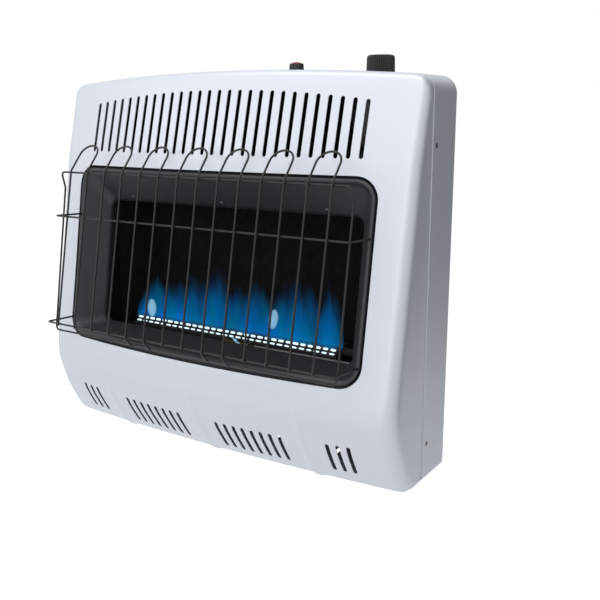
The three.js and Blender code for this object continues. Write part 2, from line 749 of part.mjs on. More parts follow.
// Ports lie in two rows on the sloping face: s runs up that face from its middle, t out of it.
const portFace = (s, t) => fromBack([35 - 0.664 * s + 0.747 * t, 197.75 + 0.747 * s + 0.664 * t]);
for (let i = 0; i < PORTS; i++) {
  const x = (i - (PORTS - 1) / 2) * PORT_PITCH;
  for (const row of [-3.4, 3.4]) {
    const corners = [[-1.3, -3], [-1.3, 3], [1.3, 3], [1.3, -3]];
    const outline = corners.map(([s, t]) => portFace(row + s, t));
    portTools.push(prism(outline, x - 4.5, x + 4.5, ALONG_X));
  }
}
add(
  "burner",
  cut(
    prism(BURNER_SECTION, -BURNER_HALF, BURNER_HALF, ALONG_X),
    prism(BURNER_BORE, -BURNER_HALF + SHEET, BURNER_HALF - SHEET, ALONG_X),
    portTools,
    rod(7.5, BURNER_HALF - 4, BURNER_HALF + 2, ...FEED, ALONG_X, 14),
  ),
  "burner_steel",
);
for (const [side, hand] of [[-1, "left"], [1, "right"]]) {
  const foot = FLOOR_Z + LINER + GAP;
  const line = [[-18, foot], [-GAP, foot], [-GAP, 202]].map(fromBack);
  const ends = [side * (BURNER_HALF - 62), side * (BURNER_HALF - 36)].sort((a, b) => a - b);
  add(`burner_bracket_${hand}`, prism(sheetOutline(line, LINER), ...ends, ALONG_X), "galvanised");
}
add(
  "venturi_tube",
  cut(
    turned([[7.2, BURNER_HALF - 7], [7.2, BOX_HALF + 3.6], [9, BOX_HALF + 11.6]], ...FEED, ALONG_X, 14),
    turned([[6, BURNER_HALF - 12], [6, BOX_HALF + 3.6], [7.8, BOX_HALF + 12.6]], ...FEED, ALONG_X, 14),
  ),
  "burner_steel",
);
const FEED_X = BOX_HALF + 22.6;
add(
  "injector_holder",
  join(
    turned(
      [[3, FEED_X - 29], [5, FEED_X - 25], [5, FEED_X - 8.5], [9, FEED_X - 8.5], [9, FEED_X + 9]],
      ...FEED,
      ALONG_X,
      12,
    ),
    rod(6, FEED[1], FEED[1] + 17.5, FEED_X, FEED[0], ALONG_Z, 12),
  ),
  "brass",
);

// ---------------------------------------------------------------- pilot group

const PILOT = [FIRE_FRONT - 19.7, 188.8]; // depth and height
const COUPLE = [FIRE_FRONT - 12.6, 187];
const SPARK = [FIRE_FRONT - 26.4, 187.2];
add(
  "pilot_burner",
  cut(
    turned([[5, 4], [5, 13], [4, 14], [4, 50], [2.9, 50], [2.9, 64]], ...PILOT, ALONG_X, 12),
    turned([[3.4, 2], [3.4, 11]], ...PILOT, ALONG_X, 12),
  ),
  "brass",
);
add("thermocouple", turned([[1, 0], [1.5, 3], [1.5, 62]], ...COUPLE, ALONG_X, 10), "copper");
add(
  "electrode_insulator",
  cut(rod(2.1, 14, 62, ...SPARK, ALONG_X, 12), rod(1.1, 10, 34, ...SPARK, ALONG_X, 8)),
  "ceramic",
);
add("electrode_tip", rod(0.8, 2, 33, ...SPARK, ALONG_X, 8), "zinc");
const FLOOR_TOP = FLOOR_Z + LINER + GAP;
add(
  "pilot_bracket",
  cut(
    join(
      box(54, 55.4, SPARK[0] - 3.3, COUPLE[0] + 3, FLOOR_TOP, 193.4),
      box(54, 62, SPARK[0] - 3.3, COUPLE[0] + 3, FLOOR_TOP, FLOOR_TOP + LINER / 2),
    ),
    rod(3.3, 50, 60, ...PILOT, ALONG_X, 12),
    rod(1.9, 50, 60, ...COUPLE, ALONG_X, 10),
    rod(2.5, 50, 60, ...SPARK, ALONG_X, 12),
  ),
  "galvanised",
);

// ---------------------------------------------------------------- gas control

const VALVE_Z = [SHOULDER - 84.5, SHOULDER - 26.5];
const BONNET_TOP = VALVE_Z[1] + 14;
const PLUNGER_Z = VALVE_Z[1] - 12.5;
const INLET_Z = VALVE_Z[0] + 24;
const BULB_PORT_Z = VALVE_Z[1] - 12;
const BURNER_PORT_X = KNOB_X - 11.6;
const PILOT_PORT_X = KNOB_X + 10.4;
add(
  "gas_valve",
  cut(
    join(
      box(KNOB_X - 25.6, KNOB_X + 26.4, 24, 66, ...VALVE_Z),
      rod(13, VALVE_Z[1] - 1, BONNET_TOP, KNOB_X, KNOB_DEPTH, ALONG_Z, 20),
      rod(9, KNOB_X + 25.4, KNOB_X + 36.4, KNOB_DEPTH, INLET_Z, ALONG_X, 14),
      rod(3, KNOB_X + 25.4, KNOB_X + 30.4, KNOB_DEPTH, BULB_PORT_Z, ALONG_X, 8),
      rod(6, VALVE_Z[0] - 6, VALVE_Z[0] + 1, BURNER_PORT_X, KNOB_DEPTH, ALONG_Z, 12),
      rod(4, VALVE_Z[0] - 5, VALVE_Z[0] + 1, PILOT_PORT_X, KNOB_DEPTH - 9, ALONG_Z, 8),
      rod(4, VALVE_Z[0] - 5, VALVE_Z[0] + 1, PILOT_PORT_X, KNOB_DEPTH + 9, ALONG_Z, 8),
    ),
    rod(SPINDLE + 0.4, PLUNGER_Z - KNOB_TRAVEL - GAP, BONNET_TOP + 1, KNOB_X, KNOB_DEPTH, ALONG_Z, 16),
  ),
  "aluminium",
);
const valveLine = [[-35.6, 10.6], [-19.6, 10.6], [-19.6, 23.6], [20.4, 23.6], [20.4, 10.6], [36.4, 10.6]].map(
  ([x, d]) => [KNOB_X + x, d],
);
add(
  "valve_bracket",
  prism(sheetOutline(valveLine, -LINER), VALVE_Z[0] + 10, VALVE_Z[1] - 10, ALONG_Z),
  "galvanised",
);

const KNOB_BASE = topAt(KNOB_X + KNOB_RADIUS) - 1.5;
const HUB_TOP = HEIGHT - 6;
add("valve_plunger", rod(SPINDLE, PLUNGER_Z, PLUNGER_Z + 7.5, KNOB_X, KNOB_DEPTH, ALONG_Z, 16), "brass");
add(
  "valve_spindle",
  rod(SPINDLE, PLUNGER_Z + 7.5 + GAP, HUB_TOP - GAP, KNOB_X, KNOB_DEPTH, ALONG_Z, 16),
  "zinc",
);
const knobRing = (r, flute, z) =>
  Array.from({ length: 2 * KNOB_FLUTES }, (_, k) => {
    const a = (Math.PI * k) / KNOB_FLUTES;
    const reach = r - (k % 2) * flute;
    return [KNOB_X + reach * Math.cos(a), -KNOB_DEPTH + reach * Math.sin(a), z];
  });
add(
  "control_knob",
  cut(
    join(
      cut(
        rings([
          knobRing(KNOB_RADIUS, 1, KNOB_BASE),
          knobRing(KNOB_RADIUS - 0.7, 1, HEIGHT - 3),
          knobRing(KNOB_RADIUS - 1.7, 0.6, HEIGHT - 1),
          knobRing(KNOB_RADIUS - 3.4, 0, HEIGHT),
        ]),
        rod(KNOB_RADIUS - 3.6, KNOB_BASE - 1, HEIGHT - 3.5, KNOB_X, KNOB_DEPTH, ALONG_Z, 24),
      ),
      rod(8, KNOB_BASE + 1, HEIGHT - 3, KNOB_X, KNOB_DEPTH, ALONG_Z, 20),
    ),
    rod(SPINDLE + GAP, KNOB_BASE - 1, HUB_TOP, KNOB_X, KNOB_DEPTH, ALONG_Z, 16),
    box(KNOB_X - 1.2, KNOB_X + 1.2, KNOB_DEPTH + 5, KNOB_DEPTH + 16, HEIGHT - 0.7, HEIGHT + 1),
  ),
  "knob_black",
);

// Igniter: collar over the casing, push button in it, piezo body below.
const IGNITER = [IGNITER_X, KNOB_DEPTH];
const COLLAR_Z = topAt(IGNITER_X - 11.8) + GAP;
const BUTTON_FOOT = COLLAR_Z + BUTTON_TRAVEL + 0.2;
add(
  "igniter_collar",
  cut(
    turned([[11.8, COLLAR_Z], [11.7, COLLAR_Z + 2], [10.7, COLLAR_Z + COLLAR_HEIGHT]], ...IGNITER, ALONG_Z, 24),
    rod(BUTTON_RADIUS + 0.4, COLLAR_Z - 1, COLLAR_Z + COLLAR_HEIGHT + 1, ...IGNITER, ALONG_Z, 24),
  ),
  "knob_black",
);
add(
  "igniter_button",
  turned(
    [
      [4.2, SHOULDER - 6.5],
      [4.2, BUTTON_FOOT],
      [BUTTON_RADIUS, BUTTON_FOOT],
      [BUTTON_RADIUS, COLLAR_Z + COLLAR_HEIGHT - 0.6],
      [6.2, COLLAR_Z + COLLAR_HEIGHT + 1],
      [3.2, COLLAR_Z + COLLAR_HEIGHT + 2.1],
    ],
    ...IGNITER,
    ALONG_Z,
    24,
  ),
  "button_red",
);
const PIEZO_TOP = topAt(IGNITER_X + 10) - SHEET - GAP;
add(
  "piezo_igniter",
  cut(
    turned([[5, SHOULDER - 50.5], [9, SHOULDER - 44.5], [9, PIEZO_TOP]], ...IGNITER, ALONG_Z, 16),
    rod(4.6, SHOULDER - 12.5, PIEZO_TOP + 1, ...IGNITER, ALONG_Z, 12),
  ),
  "knob_black",
);

// ---------------------------------------------------------------- gas supply and sensing lines

add(
  "gas_regulator",
  turned(
    [[10, 88], [10, 108], [24, 112], [28, 118], [28, 128], [24, 134], [9, 138], [9, 150]],
    ...SUPPLY,
    ALONG_Z,
    20,
  ),
  "aluminium",
);
add(
  "inlet_fitting",
  turned([[9, 10], [9, 28], [7, 30], [7, 72], [10, 74], [10, 88 - GAP]], ...SUPPLY, ALONG_Z, 12),
  "brass",
);
const line = (name, points, radius, finish, turn = 14, sides = 8) =>
  add(name, wire(bent(points, turn, 3), radius, sides), finish);
line(
  "supply_pipe",
  [
    [...SUPPLY, 150 + GAP],
    [...SUPPLY, 190],
    [HALF - 35.25, KNOB_DEPTH, 230],
    [HALF - 35.25, KNOB_DEPTH, INLET_Z],
    [KNOB_X + 36.4 + GAP, KNOB_DEPTH, INLET_Z],
  ],
  6,
  "galvanised",
  20,
);
line(
  "burner_feed_tube",
  [
    [FEED_X, FEED[0], FEED[1] + 17.5 + GAP],
    [FEED_X, FEED[0], BOX_Z[1] - 12],
    [BURNER_PORT_X, KNOB_DEPTH, VALVE_Z[0] - 46],
    [BURNER_PORT_X, KNOB_DEPTH, VALVE_Z[0] - 6 - GAP],
  ],
  4,
  "aluminium",
);
line(
  "pilot_tube",
  [
    [64 + GAP, ...PILOT],
    [BOX_HALF + 3.6, ...PILOT],
    [BOX_HALF + 17.6, PILOT[0] + 0.5, 200],
    [BOX_HALF + 30.6, 100, 262],
    [BOX_HALF + 30.6, 60, VALVE_Z[0] - 106],
    [PILOT_PORT_X, KNOB_DEPTH - 9, VALVE_Z[0] - 36],
    [PILOT_PORT_X, KNOB_DEPTH - 9, VALVE_Z[0] - 5 - GAP],
  ],
  2,
  "aluminium",
);
line(
  "thermocouple_lead",
  [
    [62 + GAP, ...COUPLE],
    [BOX_HALF + 5.6, ...COUPLE],
    [BOX_HALF + 25.6, COUPLE[0] - 3.6, 204],
    [BOX_HALF + 37.6, 100, 262],
    [BOX_HALF + 37.6, 64, VALVE_Z[0] - 106],
    [PILOT_PORT_X, KNOB_DEPTH + 9, VALVE_Z[0] - 36],
    [PILOT_PORT_X, KNOB_DEPTH + 9, VALVE_Z[0] - 5 - GAP],
  ],
  1.2,
  "copper",
  10,
  6,
);
line(
  "ignition_lead",
  [
    [62 + GAP, ...SPARK],
    [BOX_HALF + 3.6, ...SPARK],
    [BOX_HALF + 17.6, SPARK[0] - 2.8, 202],
    [HALF - 46.25, 92, 262],
    [HALF - 46.25, 60, SHOULDER - 170.5],
    [HALF - 51.25, 26, SHOULDER - 110.5],
    [IGNITER_X, 26, SHOULDER - 95.5],
    [IGNITER_X, KNOB_DEPTH, SHOULDER - 70.5],
    [IGNITER_X, KNOB_DEPTH, SHOULDER - 50.5 - GAP],
  ],
  1.5,
  "lead_red",
  10,
  6,
);
const BULB = [30, 60]; // depth and height
add("thermostat_bulb", turned([[2, 56], [4.5, 60], [4.5, 146], [2, 150]], ...BULB, ALONG_X, 12), "copper");
line(
  "capillary_tube",
  [
    [150 + GAP, ...BULB],
    [HALF - 19.25, ...BULB],
    [HALF - 19.25, KNOB_DEPTH, BULB_PORT_Z],
    [KNOB_X + 30.4 + GAP, KNOB_DEPTH, BULB_PORT_Z],
  ],
  0.9,
  "copper",
  14,
  6,
);
for (const [x, hand] of [[76, "left"], [130, "right"]]) {
  const face = PANEL_FACE;
  add(
    `bulb_clip_${hand}`,
    cut(
      box(x - 3, x + 3, face, BULB[0] + 7, BULB[1] - 7, BULB[1] + 7),
      rod(4.8, x - 5, x + 5, ...BULB, ALONG_X, 12),
    ),
    "galvanised",
  );
}

// ---------------------------------------------------------------- wire guard

const legAt = (z) => GUARD_FRONT - (z - LOWER_BEND_Z) * LEAN;
const BEHIND = HOOP_WIRE + FRAME_WIRE + GAP;

function hoop(k) {
  const x0 = (2 * k - HOOPS + 0.5) * LEG_PITCH;
  const r = LEG_PITCH / 2;
  const bend = [legAt(TOP_WIRE_Z + 3), TOP_WIRE_Z + 3];
  const rise = [HOOP_TOP[1] - bend[0], HOOP_TOP[0] - bend[1]];
  const l = Math.hypot(...rise);
  const up = (t) => [bend[0] + (rise[0] * t) / l, bend[1] + (rise[1] * t) / l];
  const held = k === 2 || k === 4; // these two hoops reach down to the bottom wire
  const foot = (x) =>
    held
      ? [[x, 230.7, FRAME_BOTTOM_Z - 2.4], [x, legAt(LOWER_BEND_Z), LOWER_BEND_Z]]
      : [[x, legAt(LOWER_WIRE_Z - 2), LOWER_WIRE_Z - 2]];
  const crown = [];
  for (let i = 0; i <= 8; i++) {
    const a = Math.PI * (1 - i / 8);
    crown.push([x0 + r + r * Math.cos(a), ...up(l - r + r * Math.sin(a))]);
  }
  const leg = (x) => bent([...foot(x), [x, ...bend], [x, ...up(l - r)]], 9, 2).slice(0, -1);
  const arc = crown.map(([x, d, z]) => new THREE.Vector3(x, -d, z));
  return wire([...leg(x0), ...arc, ...leg(x0 + LEG_PITCH).reverse()], HOOP_WIRE, 6);
}
for (let k = 0; k < HOOPS; k++) add(`guard_hoop_${k + 1}`, hoop(k), "guard_black");

function crossWire(z, hole, corner) {
  const d = legAt(z) - BEHIND;
  const inside = faceAt(HOLE_HALF, hole) - 5;
  return wire(
    bent([[-HOLE_HALF, inside, hole], [-corner, d, z], [corner, d, z], [HOLE_HALF, inside, hole]], 8),
    FRAME_WIRE,
  );
}
add("guard_middle_wire", crossWire(MIDDLE_WIRE_Z, HOLE_Z[1], HOLE_HALF), "guard_black");
add("guard_lower_wire", crossWire(LOWER_WIRE_Z, HOLE_Z[0], HOLE_HALF - 1.5), "guard_black");

const frameTop = legAt(TOP_WIRE_Z) - BEHIND;
const frameBend = legAt(FRAME_BEND_Z) - FRAME_SETBACK[0];
const frameFoot = legAt(FRAME_BOTTOM_Z) - FRAME_SETBACK[1];
const frameLine = [
  [0, frameTop, TOP_WIRE_Z],
  [GUARD_HALF, frameTop, TOP_WIRE_Z],
  [GUARD_HALF, frameBend, FRAME_BEND_Z],
  [GUARD_HALF, frameFoot, FRAME_BOTTOM_Z],
  [-GUARD_HALF, frameFoot, FRAME_BOTTOM_Z],
  [-GUARD_HALF, frameBend, FRAME_BEND_Z],
  [-GUARD_HALF, frameTop, TOP_WIRE_Z],
  [0, frameTop, TOP_WIRE_Z],
];
add("guard_frame", wire(bent(frameLine, 9).slice(0, -1), FRAME_WIRE, 8, true), "guard_black");

// ---------------------------------------------------------------- wall bracket

const tongues = [-150, 150].flatMap((x) => [
  box(x - 20, x + 20, 1, 12, HANG_Z - 4.4, HANG_Z - 2.4),
  box(x - 20, x + 20, 10, 12, HANG_Z - 4.4, HANG_Z + 7),
]);
add(
  "wall_bracket",
  cut(
    join(box(-205, 205, 0, 2, HANG_Z - 31, HANG_Z + 31), tongues),
    [-180, 0, 180].map((x) => rod(3, -1, 3, x, HANG_Z + 17, ALONG_Y, 10)),
  ),
  "galvanised",
);

export default part;
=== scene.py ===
"""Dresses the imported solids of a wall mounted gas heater: casing, fire opening, guard, burner, controls.

Lengths inside the shape functions are millimetres as [x, depth from the wall, height above the casing's
lowest point]; place() turns them into metres in the frame, whose origin is the wall bracket.
"""
import json
import math

import bmesh
import bpy
import numpy as np
from bpy.props import FloatProperty, FloatVectorProperty, IntProperty, PointerProperty
from mathutils import Matrix, Vector
from mathutils.bvhtree import BVHTree
from mathutils.interpolate import poly_3d_calc


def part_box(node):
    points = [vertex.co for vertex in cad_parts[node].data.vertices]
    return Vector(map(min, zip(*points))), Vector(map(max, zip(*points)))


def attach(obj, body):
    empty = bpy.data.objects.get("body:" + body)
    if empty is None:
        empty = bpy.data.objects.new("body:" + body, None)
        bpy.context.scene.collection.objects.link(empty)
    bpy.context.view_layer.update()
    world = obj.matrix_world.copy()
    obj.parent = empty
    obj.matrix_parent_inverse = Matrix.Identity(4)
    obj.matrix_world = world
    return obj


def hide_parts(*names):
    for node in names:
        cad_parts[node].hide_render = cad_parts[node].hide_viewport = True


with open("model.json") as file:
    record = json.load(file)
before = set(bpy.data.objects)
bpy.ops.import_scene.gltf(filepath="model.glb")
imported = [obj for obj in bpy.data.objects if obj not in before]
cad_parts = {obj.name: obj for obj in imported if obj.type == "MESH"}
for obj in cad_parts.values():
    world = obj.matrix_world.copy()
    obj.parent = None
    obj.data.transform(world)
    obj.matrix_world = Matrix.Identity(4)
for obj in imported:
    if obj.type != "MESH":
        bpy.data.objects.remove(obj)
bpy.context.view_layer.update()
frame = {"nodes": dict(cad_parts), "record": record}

bl_info = {
    "name": "Wall Gas Heater",
    "version": (1, 0, 0),
    "blender": (4, 5, 0),
    "location": "View3D > Sidebar > Heater",
    "description": "Builds the visible pieces and finishes of a wall mounted gas heater",
    "category": "Add Mesh",
}

# ---------------------------------------------------------------- casing form, in millimetres

HANG = 561.0
HALF = 349.25
SEAM = 78.2
SHELL_BOTTOM = 6.0
SHOULDER, ARCH = 610.5, 13.5
TOP_CORNER, BOTTOM_CORNER = 25.0, 9.0
KINK_Z, KINK_DEPTH = 482.8, 124.7
UPPER_SLOPE, MIDDLE_SLOPE = 0.257, 0.1655
BOW, LOW_BOW = 28.0, 6.0
TOP_ROUND, EDGE_ROUND = 11.0, 17.0
RIB_HEIGHT, RIB_WIDTH, RIB_PITCH = 2.2, 7.0, 200.0
OPENING_HALF, OPENING_Z, OPENING_CORNER = 296.7, (173.6, 472.7), 35.0
THROAT_HALF, THROAT_Z, THROAT_DEPTH, THROAT_CORNER = 257.0, (192.4, 409.7), 102.7, 14.0
RIM = 12.0
TUCK, TAPER = 1.2, 22.0
KNOB = (247.6, 45.0)
IGNITER = (100.5, 45.0)
SUPPLY = (292.0, 45.0)


def place(points):
    """Millimetre rows [x, depth, height] as metres in the frame."""
    p = np.asarray(points, float)
    return np.stack([p[..., 0], -p[..., 1], p[..., 2] - HANG], -1) / 1000


def top_at(x, inset=0.0):
    r = TOP_CORNER - inset
    past = min(max(abs(x) - (HALF - TOP_CORNER), 0.0), r)
    return SHOULDER + ARCH * (1 - (x / HALF) ** 2) - inset - (r - math.sqrt(r * r - past * past))


def bow_at(x, z):
    return (BOW + LOW_BOW * min(max((300 - z) / 180, 0), 1)) * (1 - (x / HALF) ** 2)


def face_at(x, z):
    """Depth of the front face, with the change of slope eased over a few millimetres."""
    drop = KINK_Z - z
    soft = 14.0
    if abs(drop) < soft:
        t = (drop + soft) / (2 * soft)
        lean = UPPER_SLOPE * (-soft) + 2 * soft * (UPPER_SLOPE * t + (MIDDLE_SLOPE - UPPER_SLOPE) * t * t / 2)
        depth = KINK_DEPTH + lean
    else:
        depth = KINK_DEPTH + drop * (UPPER_SLOPE if drop < 0 else MIDDLE_SLOPE)
    return depth + bow_at(x, z)


def rib_at(x):
    return RIB_HEIGHT * sum(math.exp(-(((x - c) / RIB_WIDTH) ** 2)) for c in (-RIB_PITCH, 0, RIB_PITCH))


# Lower front at the sides: depth, height, bow, rib share, edge radius.
CHIN = [
    (78.5, 6, 0, 0, 9),
    (90, 3.2, 6.8, 0.2, 12.5),
    (104, 1.32, 11.9, 0.6, 16),
    (116, 2.7, 14.3, 1, 18),
    (124.5, 7, 16.3, 1, 20),
    (131, 13, 18.4, 1, 21),
    (140, 25, 21.1, 1, 21),
    (160, 64, 27.2, 1, 21),
    (170.4, 93, 30.3, 0.9, 21),
    (180, 128, 34, 0.6, 21),
    (179.8, 150, 33, 0.35, 21),
    (173.2, 190, 31.7, 0, 19),
    (165, 240, 30, 0, 18.6),
]


def eased(rows, steps):
    """Smooth rows through the given ones; it never leaves the range of two neighbours."""
    rows = np.asarray(rows, float)
    out = []
    for i in range(len(rows) - 1):
        a, b, c, d = (rows[min(max(i + k, 0), len(rows) - 1)] for k in (-1, 0, 1, 2))
        for s in range(steps):
            t = s / steps
            p = 0.5 * (2 * b + (c - a) * t + (2 * a - 5 * b + 4 * c - d) * t**2 + (3 * b - a - 3 * c + d) * t**3)
            out.append(np.clip(p, np.minimum(b, c), np.maximum(b, c)))
    out.append(rows[-1])
    return np.array(out)


def cover_grid():
    """Outer skin of the front cover, as rows of points from the underside up to the top seam."""
    turns = np.radians(np.linspace(0, 90, 11)[1:])
    near_ribs = {round(v, 2) for c in (0, 200) for v in (c + np.linspace(-14, 14, 9))}
    flat = sorted(near_ribs | set(np.arange(0, 328, 11.0)))
    flat = [x for x in flat if 0 <= x < 324]
    across = np.array([-328.0, *[-x for x in reversed(flat) if x > 0], *flat, 328.0]) / 328
    chin = eased(CHIN, 4)
    ahead = np.gradient(chin[:, :2], axis=0)
    rows = []

    def row(r, at, n):
        tuck = TUCK * (1 - min(max(at(HALF)[0] - SEAM - 0.3 - r * n[0], 0) / 6, 1))
        hw = HALF - tuck
        room = (at(hw)[0] - SEAM - 0.8) / max(r * n[0], 0.01)
        n = (n[0] * min(max(room, 0), 1), n[1])
        line = []
        for side, run in ((-1, turns[::-1]), (0, across), (1, turns)):
            for v in run:
                x, a = (v * (hw - r), 0.0) if side == 0 else (side * (hw - r + r * math.sin(v)), v)
                d, z = at(x)
                back = r * (1 - math.cos(a))
                line.append([x, d - n[0] * back, z - n[1] * back])
        walls = []
        for k in (0, -1):
            x, reach, z = line[k]
            reach = max(reach - SEAM - 0.3, 0.01)
            steps = np.linspace(0, reach, 8)[:-1]
            end = min(TAPER, 0.95 * reach)
            tucks = [math.copysign((TUCK - tuck) * (1 - min(s / end, 1)) ** 2, x) for s in steps]
            walls.append([[x - t, SEAM + 0.3 + s, z] for s, t in zip(steps, tucks)])
        rows.append(walls[0] + line + walls[1][::-1])

    for (d, z, bow, rib, r), (dd, dz) in zip(chin, ahead):
        n = np.array([dz, -dd]) / math.hypot(dd, dz)
        fade = min(max((z - 128) / 60, 0), 1)
        n = n * (1 - fade) + np.array([1.0, 0.0]) * fade
        if d < 78.6:
            n = np.array([0.0, -1.0])
        row(
            r,
            lambda x, d=d, z=z, bow=bow, rib=rib, n=n: (
                d + bow * (1 - (x / HALF) ** 2) + n[0] * rib_at(x) * rib,
                max(z + n[1] * rib_at(x) * rib, 0.02),
            ),
            n,
        )
    for z in [*np.linspace(256, 462, 14), *np.linspace(469, 497, 8)]:
        r = EDGE_ROUND + 1.6 * (KINK_Z - z) / 240 if z < KINK_Z else EDGE_ROUND - (z - KINK_Z) / 40
        row(r, lambda x, z=z: (face_at(x, z), z), (1.0, 0.0))
    lean = math.atan(UPPER_SLOPE)
    edge = lambda x: face_at(x, top_at(x) - TOP_ROUND) - TOP_ROUND * math.hypot(1, UPPER_SLOPE)
    bend = lambda x, a: (edge(x) + TOP_ROUND * math.cos(a), top_at(x) - TOP_ROUND * (1 - math.sin(a)))
    for s in np.linspace(0, 1, 9)[1:-1]:
        r = EDGE_ROUND - 0.4 - 2.6 * s
        low = 497.0
        row(
            r,
            lambda x, s=s: tuple(np.array([face_at(x, low), low]) * (1 - s) + np.array(bend(x, lean)) * s),
            (1.0, 0.0),
        )
    for s in np.linspace(0, 1, 9):
        row(EDGE_ROUND - 3, lambda x, s=s: bend(x, lean + (math.pi / 2 - lean) * s), (1.0, 0.0))
    for s in (0.34, 0.67, 0.93, 1.0):
        row(
            EDGE_ROUND - 3,
            lambda x, s=s: (edge(x) * (1 - s) + (SEAM + 0.3) * s, top_at(x, TUCK if s == 1 else 0.0)),
            (1.0, 0.0) if s < 1 else (0.0, 0.0),
        )
    return np.array(rows)


def rounded_loop(half, z0, z1, r, corner=16, wide=44, tall=18):
    """Rounded rectangle with a fixed number of points, so that two of them can be joined."""
    loop = []

    def arc(x, z, start):
        for k in range(corner + 1):
            a = math.radians(start + 90 * k / corner)
            loop.append((x + r * math.cos(a), z + r * math.sin(a)))

    def side(a, b, n):
        for i in range(1, n):
            loop.append((a[0] + (b[0] - a[0]) * i / n, a[1] + (b[1] - a[1]) * i / n))

    arc(half - r, z1 - r, 0)
    side((half - r, z1), (r - half, z1), wide)
    arc(r - half, z1 - r, 90)
    side((-half, z1 - r), (-half, z0 + r), tall)
    arc(r - half, z0 + r, 180)
    side((r - half, z0), (half - r, z0), wide)
    arc(half - r, z0 + r, 270)
    side((half, z0 + r), (half, z1 - r), tall)
    return loop


def casing_outline(inset):
    hw = HALF - inset
    arc = np.radians(np.linspace(0, 90, 17)[1:])
    top = np.linspace(-1, 1, 41) * (HALF - TOP_CORNER)
    side = HALF - TOP_CORNER + (TOP_CORNER - inset) * np.sin(arc)
    xs = [*(-side[::-1]), *top, *side]
    r = BOTTOM_CORNER - inset
    low = [
        (hw - r + r * math.cos(a), SHELL_BOTTOM + inset + r - r * math.sin(a))
        for a in np.radians(np.linspace(0, 90, 9))
    ]
    return [(x, top_at(x, inset)) for x in xs] + low + [(-x, z) for x, z in reversed(low)]


def slot_outline(x, z0, z1, width):
    r = width / 2
    arc = np.radians(np.linspace(0, 180, 9))
    return [(x + r * math.cos(a), z1 - r + r * math.sin(a)) for a in arc] + [
        (x - r * math.cos(a), z0 + r - r * math.sin(a)) for a in arc
    ]


# ---------------------------------------------------------------- mesh tools

ALONG_X = lambda u, v, t: (t, u, v)  # u depth, v height
ALONG_Y = lambda u, v, t: (u, t, v)  # t depth
ALONG_Z = lambda u, v, t: (u, v, t)  # v depth


def prism(outline, start, end, way):
    n = len(outline)
    points = [way(u, v, t) for t in (start, end) for u, v in outline]
    faces = [list(range(n))[::-1], list(range(n, 2 * n))]
    faces += [[i, (i + 1) % n, n + (i + 1) % n, n + i] for i in range(n)]
    return points, faces


def box(x0, x1, d0, d1, z0, z1):
    return prism([(x0, z0), (x1, z0), (x1, z1), (x0, z1)], d0, d1, ALONG_Y)


def lathe(profile, u, v, way, sides=48):
    """Turned form from [radius, place along the axis], with its two ends closed."""
    points, faces = [], []
    for r, t in profile:
        for i in range(sides):
            a = 2 * math.pi * i / sides
            points.append(way(u + r * math.cos(a), v + r * math.sin(a), t))
    for k in range(len(profile) - 1):
        for i in range(sides):
            j = (i + 1) % sides
            faces.append([k * sides + i, k * sides + j, (k + 1) * sides + j, (k + 1) * sides + i])
    last = (len(profile) - 1) * sides
    faces += [list(range(sides))[::-1], list(range(last, last + sides))]
    return points, faces


def merged(*parts):
    points, faces = [], []
    for p, f in parts:
        base = len(points)
        points += list(p)
        faces += [[base + i for i in face] for face in f]
    return points, faces


def grid_faces(rows, cols, loop=False):
    span = cols if loop else cols - 1
    return [
        [i * cols + j, i * cols + (j + 1) % cols, (i + 1) * cols + (j + 1) % cols, (i + 1) * cols + j]
        for i in range(rows - 1)
        for j in range(span)
    ]


def make_object(name, points, faces, closed=True):
    mesh = bpy.data.meshes.new(name)
    mesh.from_pydata([tuple(p) for p in place(points)], [], faces)
    if closed:
        bm = bmesh.new()
        bm.from_mesh(mesh)
        bmesh.ops.recalc_face_normals(bm, faces=bm.faces)
        if bm.calc_volume(signed=True) < 0:
            bmesh.ops.reverse_faces(bm, faces=bm.faces)
        bm.to_mesh(mesh)
        bm.free()
    mesh.update()
    obj = bpy.data.objects.new(name, mesh)
    bpy.context.scene.collection.objects.link(obj)
    return obj


def settle(obj):
    """Replace the object's mesh by the result of its modifiers."""
    graph = bpy.context.evaluated_depsgraph_get()
    graph.update()
    mesh = bpy.data.meshes.new_from_object(obj.evaluated_get(graph))
    old = obj.data
    obj.modifiers.clear()
    obj.data = mesh
    bpy.data.meshes.remove(old)
    mesh.name = obj.name


def carve(obj, *tools):
    """Cut closed forms out of the object."""
    for i, (points, faces) in enumerate(tools):
        tool = make_object(f"cutter_{i}", points, faces)
        step = obj.modifiers.new("cut", "BOOLEAN")
        step.operation = "DIFFERENCE"
        step.solver = "EXACT"
        step.object = tool
        settle(obj)
        bpy.data.objects.remove(tool)


def skin_normals(obj, skin_mesh):
    """Give the cut sheet the normals of its unbroken skin, so that highlights run straight past the holes."""
    tree = BVHTree.FromPolygons(
        [v.co for v in skin_mesh.vertices], [list(p.vertices) for p in skin_mesh.polygons]
    )
    skin = []
    for v in obj.data.vertices:
        hit, _, index, _ = tree.find_nearest(v.co)
        corners = skin_mesh.polygons[index].vertices
        weights = poly_3d_calc([skin_mesh.vertices[c].co for c in corners], hit)
        n = Vector()
        for c, w in zip(corners, weights):
            n += skin_mesh.vertices[c].normal * w
        skin.append(n.normalized())
    normals = [None] * len(obj.data.loops)
    for p in obj.data.polygons:
        p.use_smooth = True
        for k in p.loop_indices:
            n = skin[obj.data.loops[k].vertex_index]
            lie = p.normal.dot(n)
            normals[k] = n if lie > 0.75 else -n if lie < -0.75 else p.normal
    obj.data.normals_split_custom_set(normals)


def soft_edges(obj, angle=35):
    """Smooth shading with flat faces kept flat and edges over the angle kept sharp."""
    obj.data.shade_smooth()
    obj.data.set_sharp_from_angle(angle=math.radians(angle))
    step = obj.modifiers.new("normals", "WEIGHTED_NORMAL")
    step.keep_sharp = True
    step.weight = 80
    settle(obj)


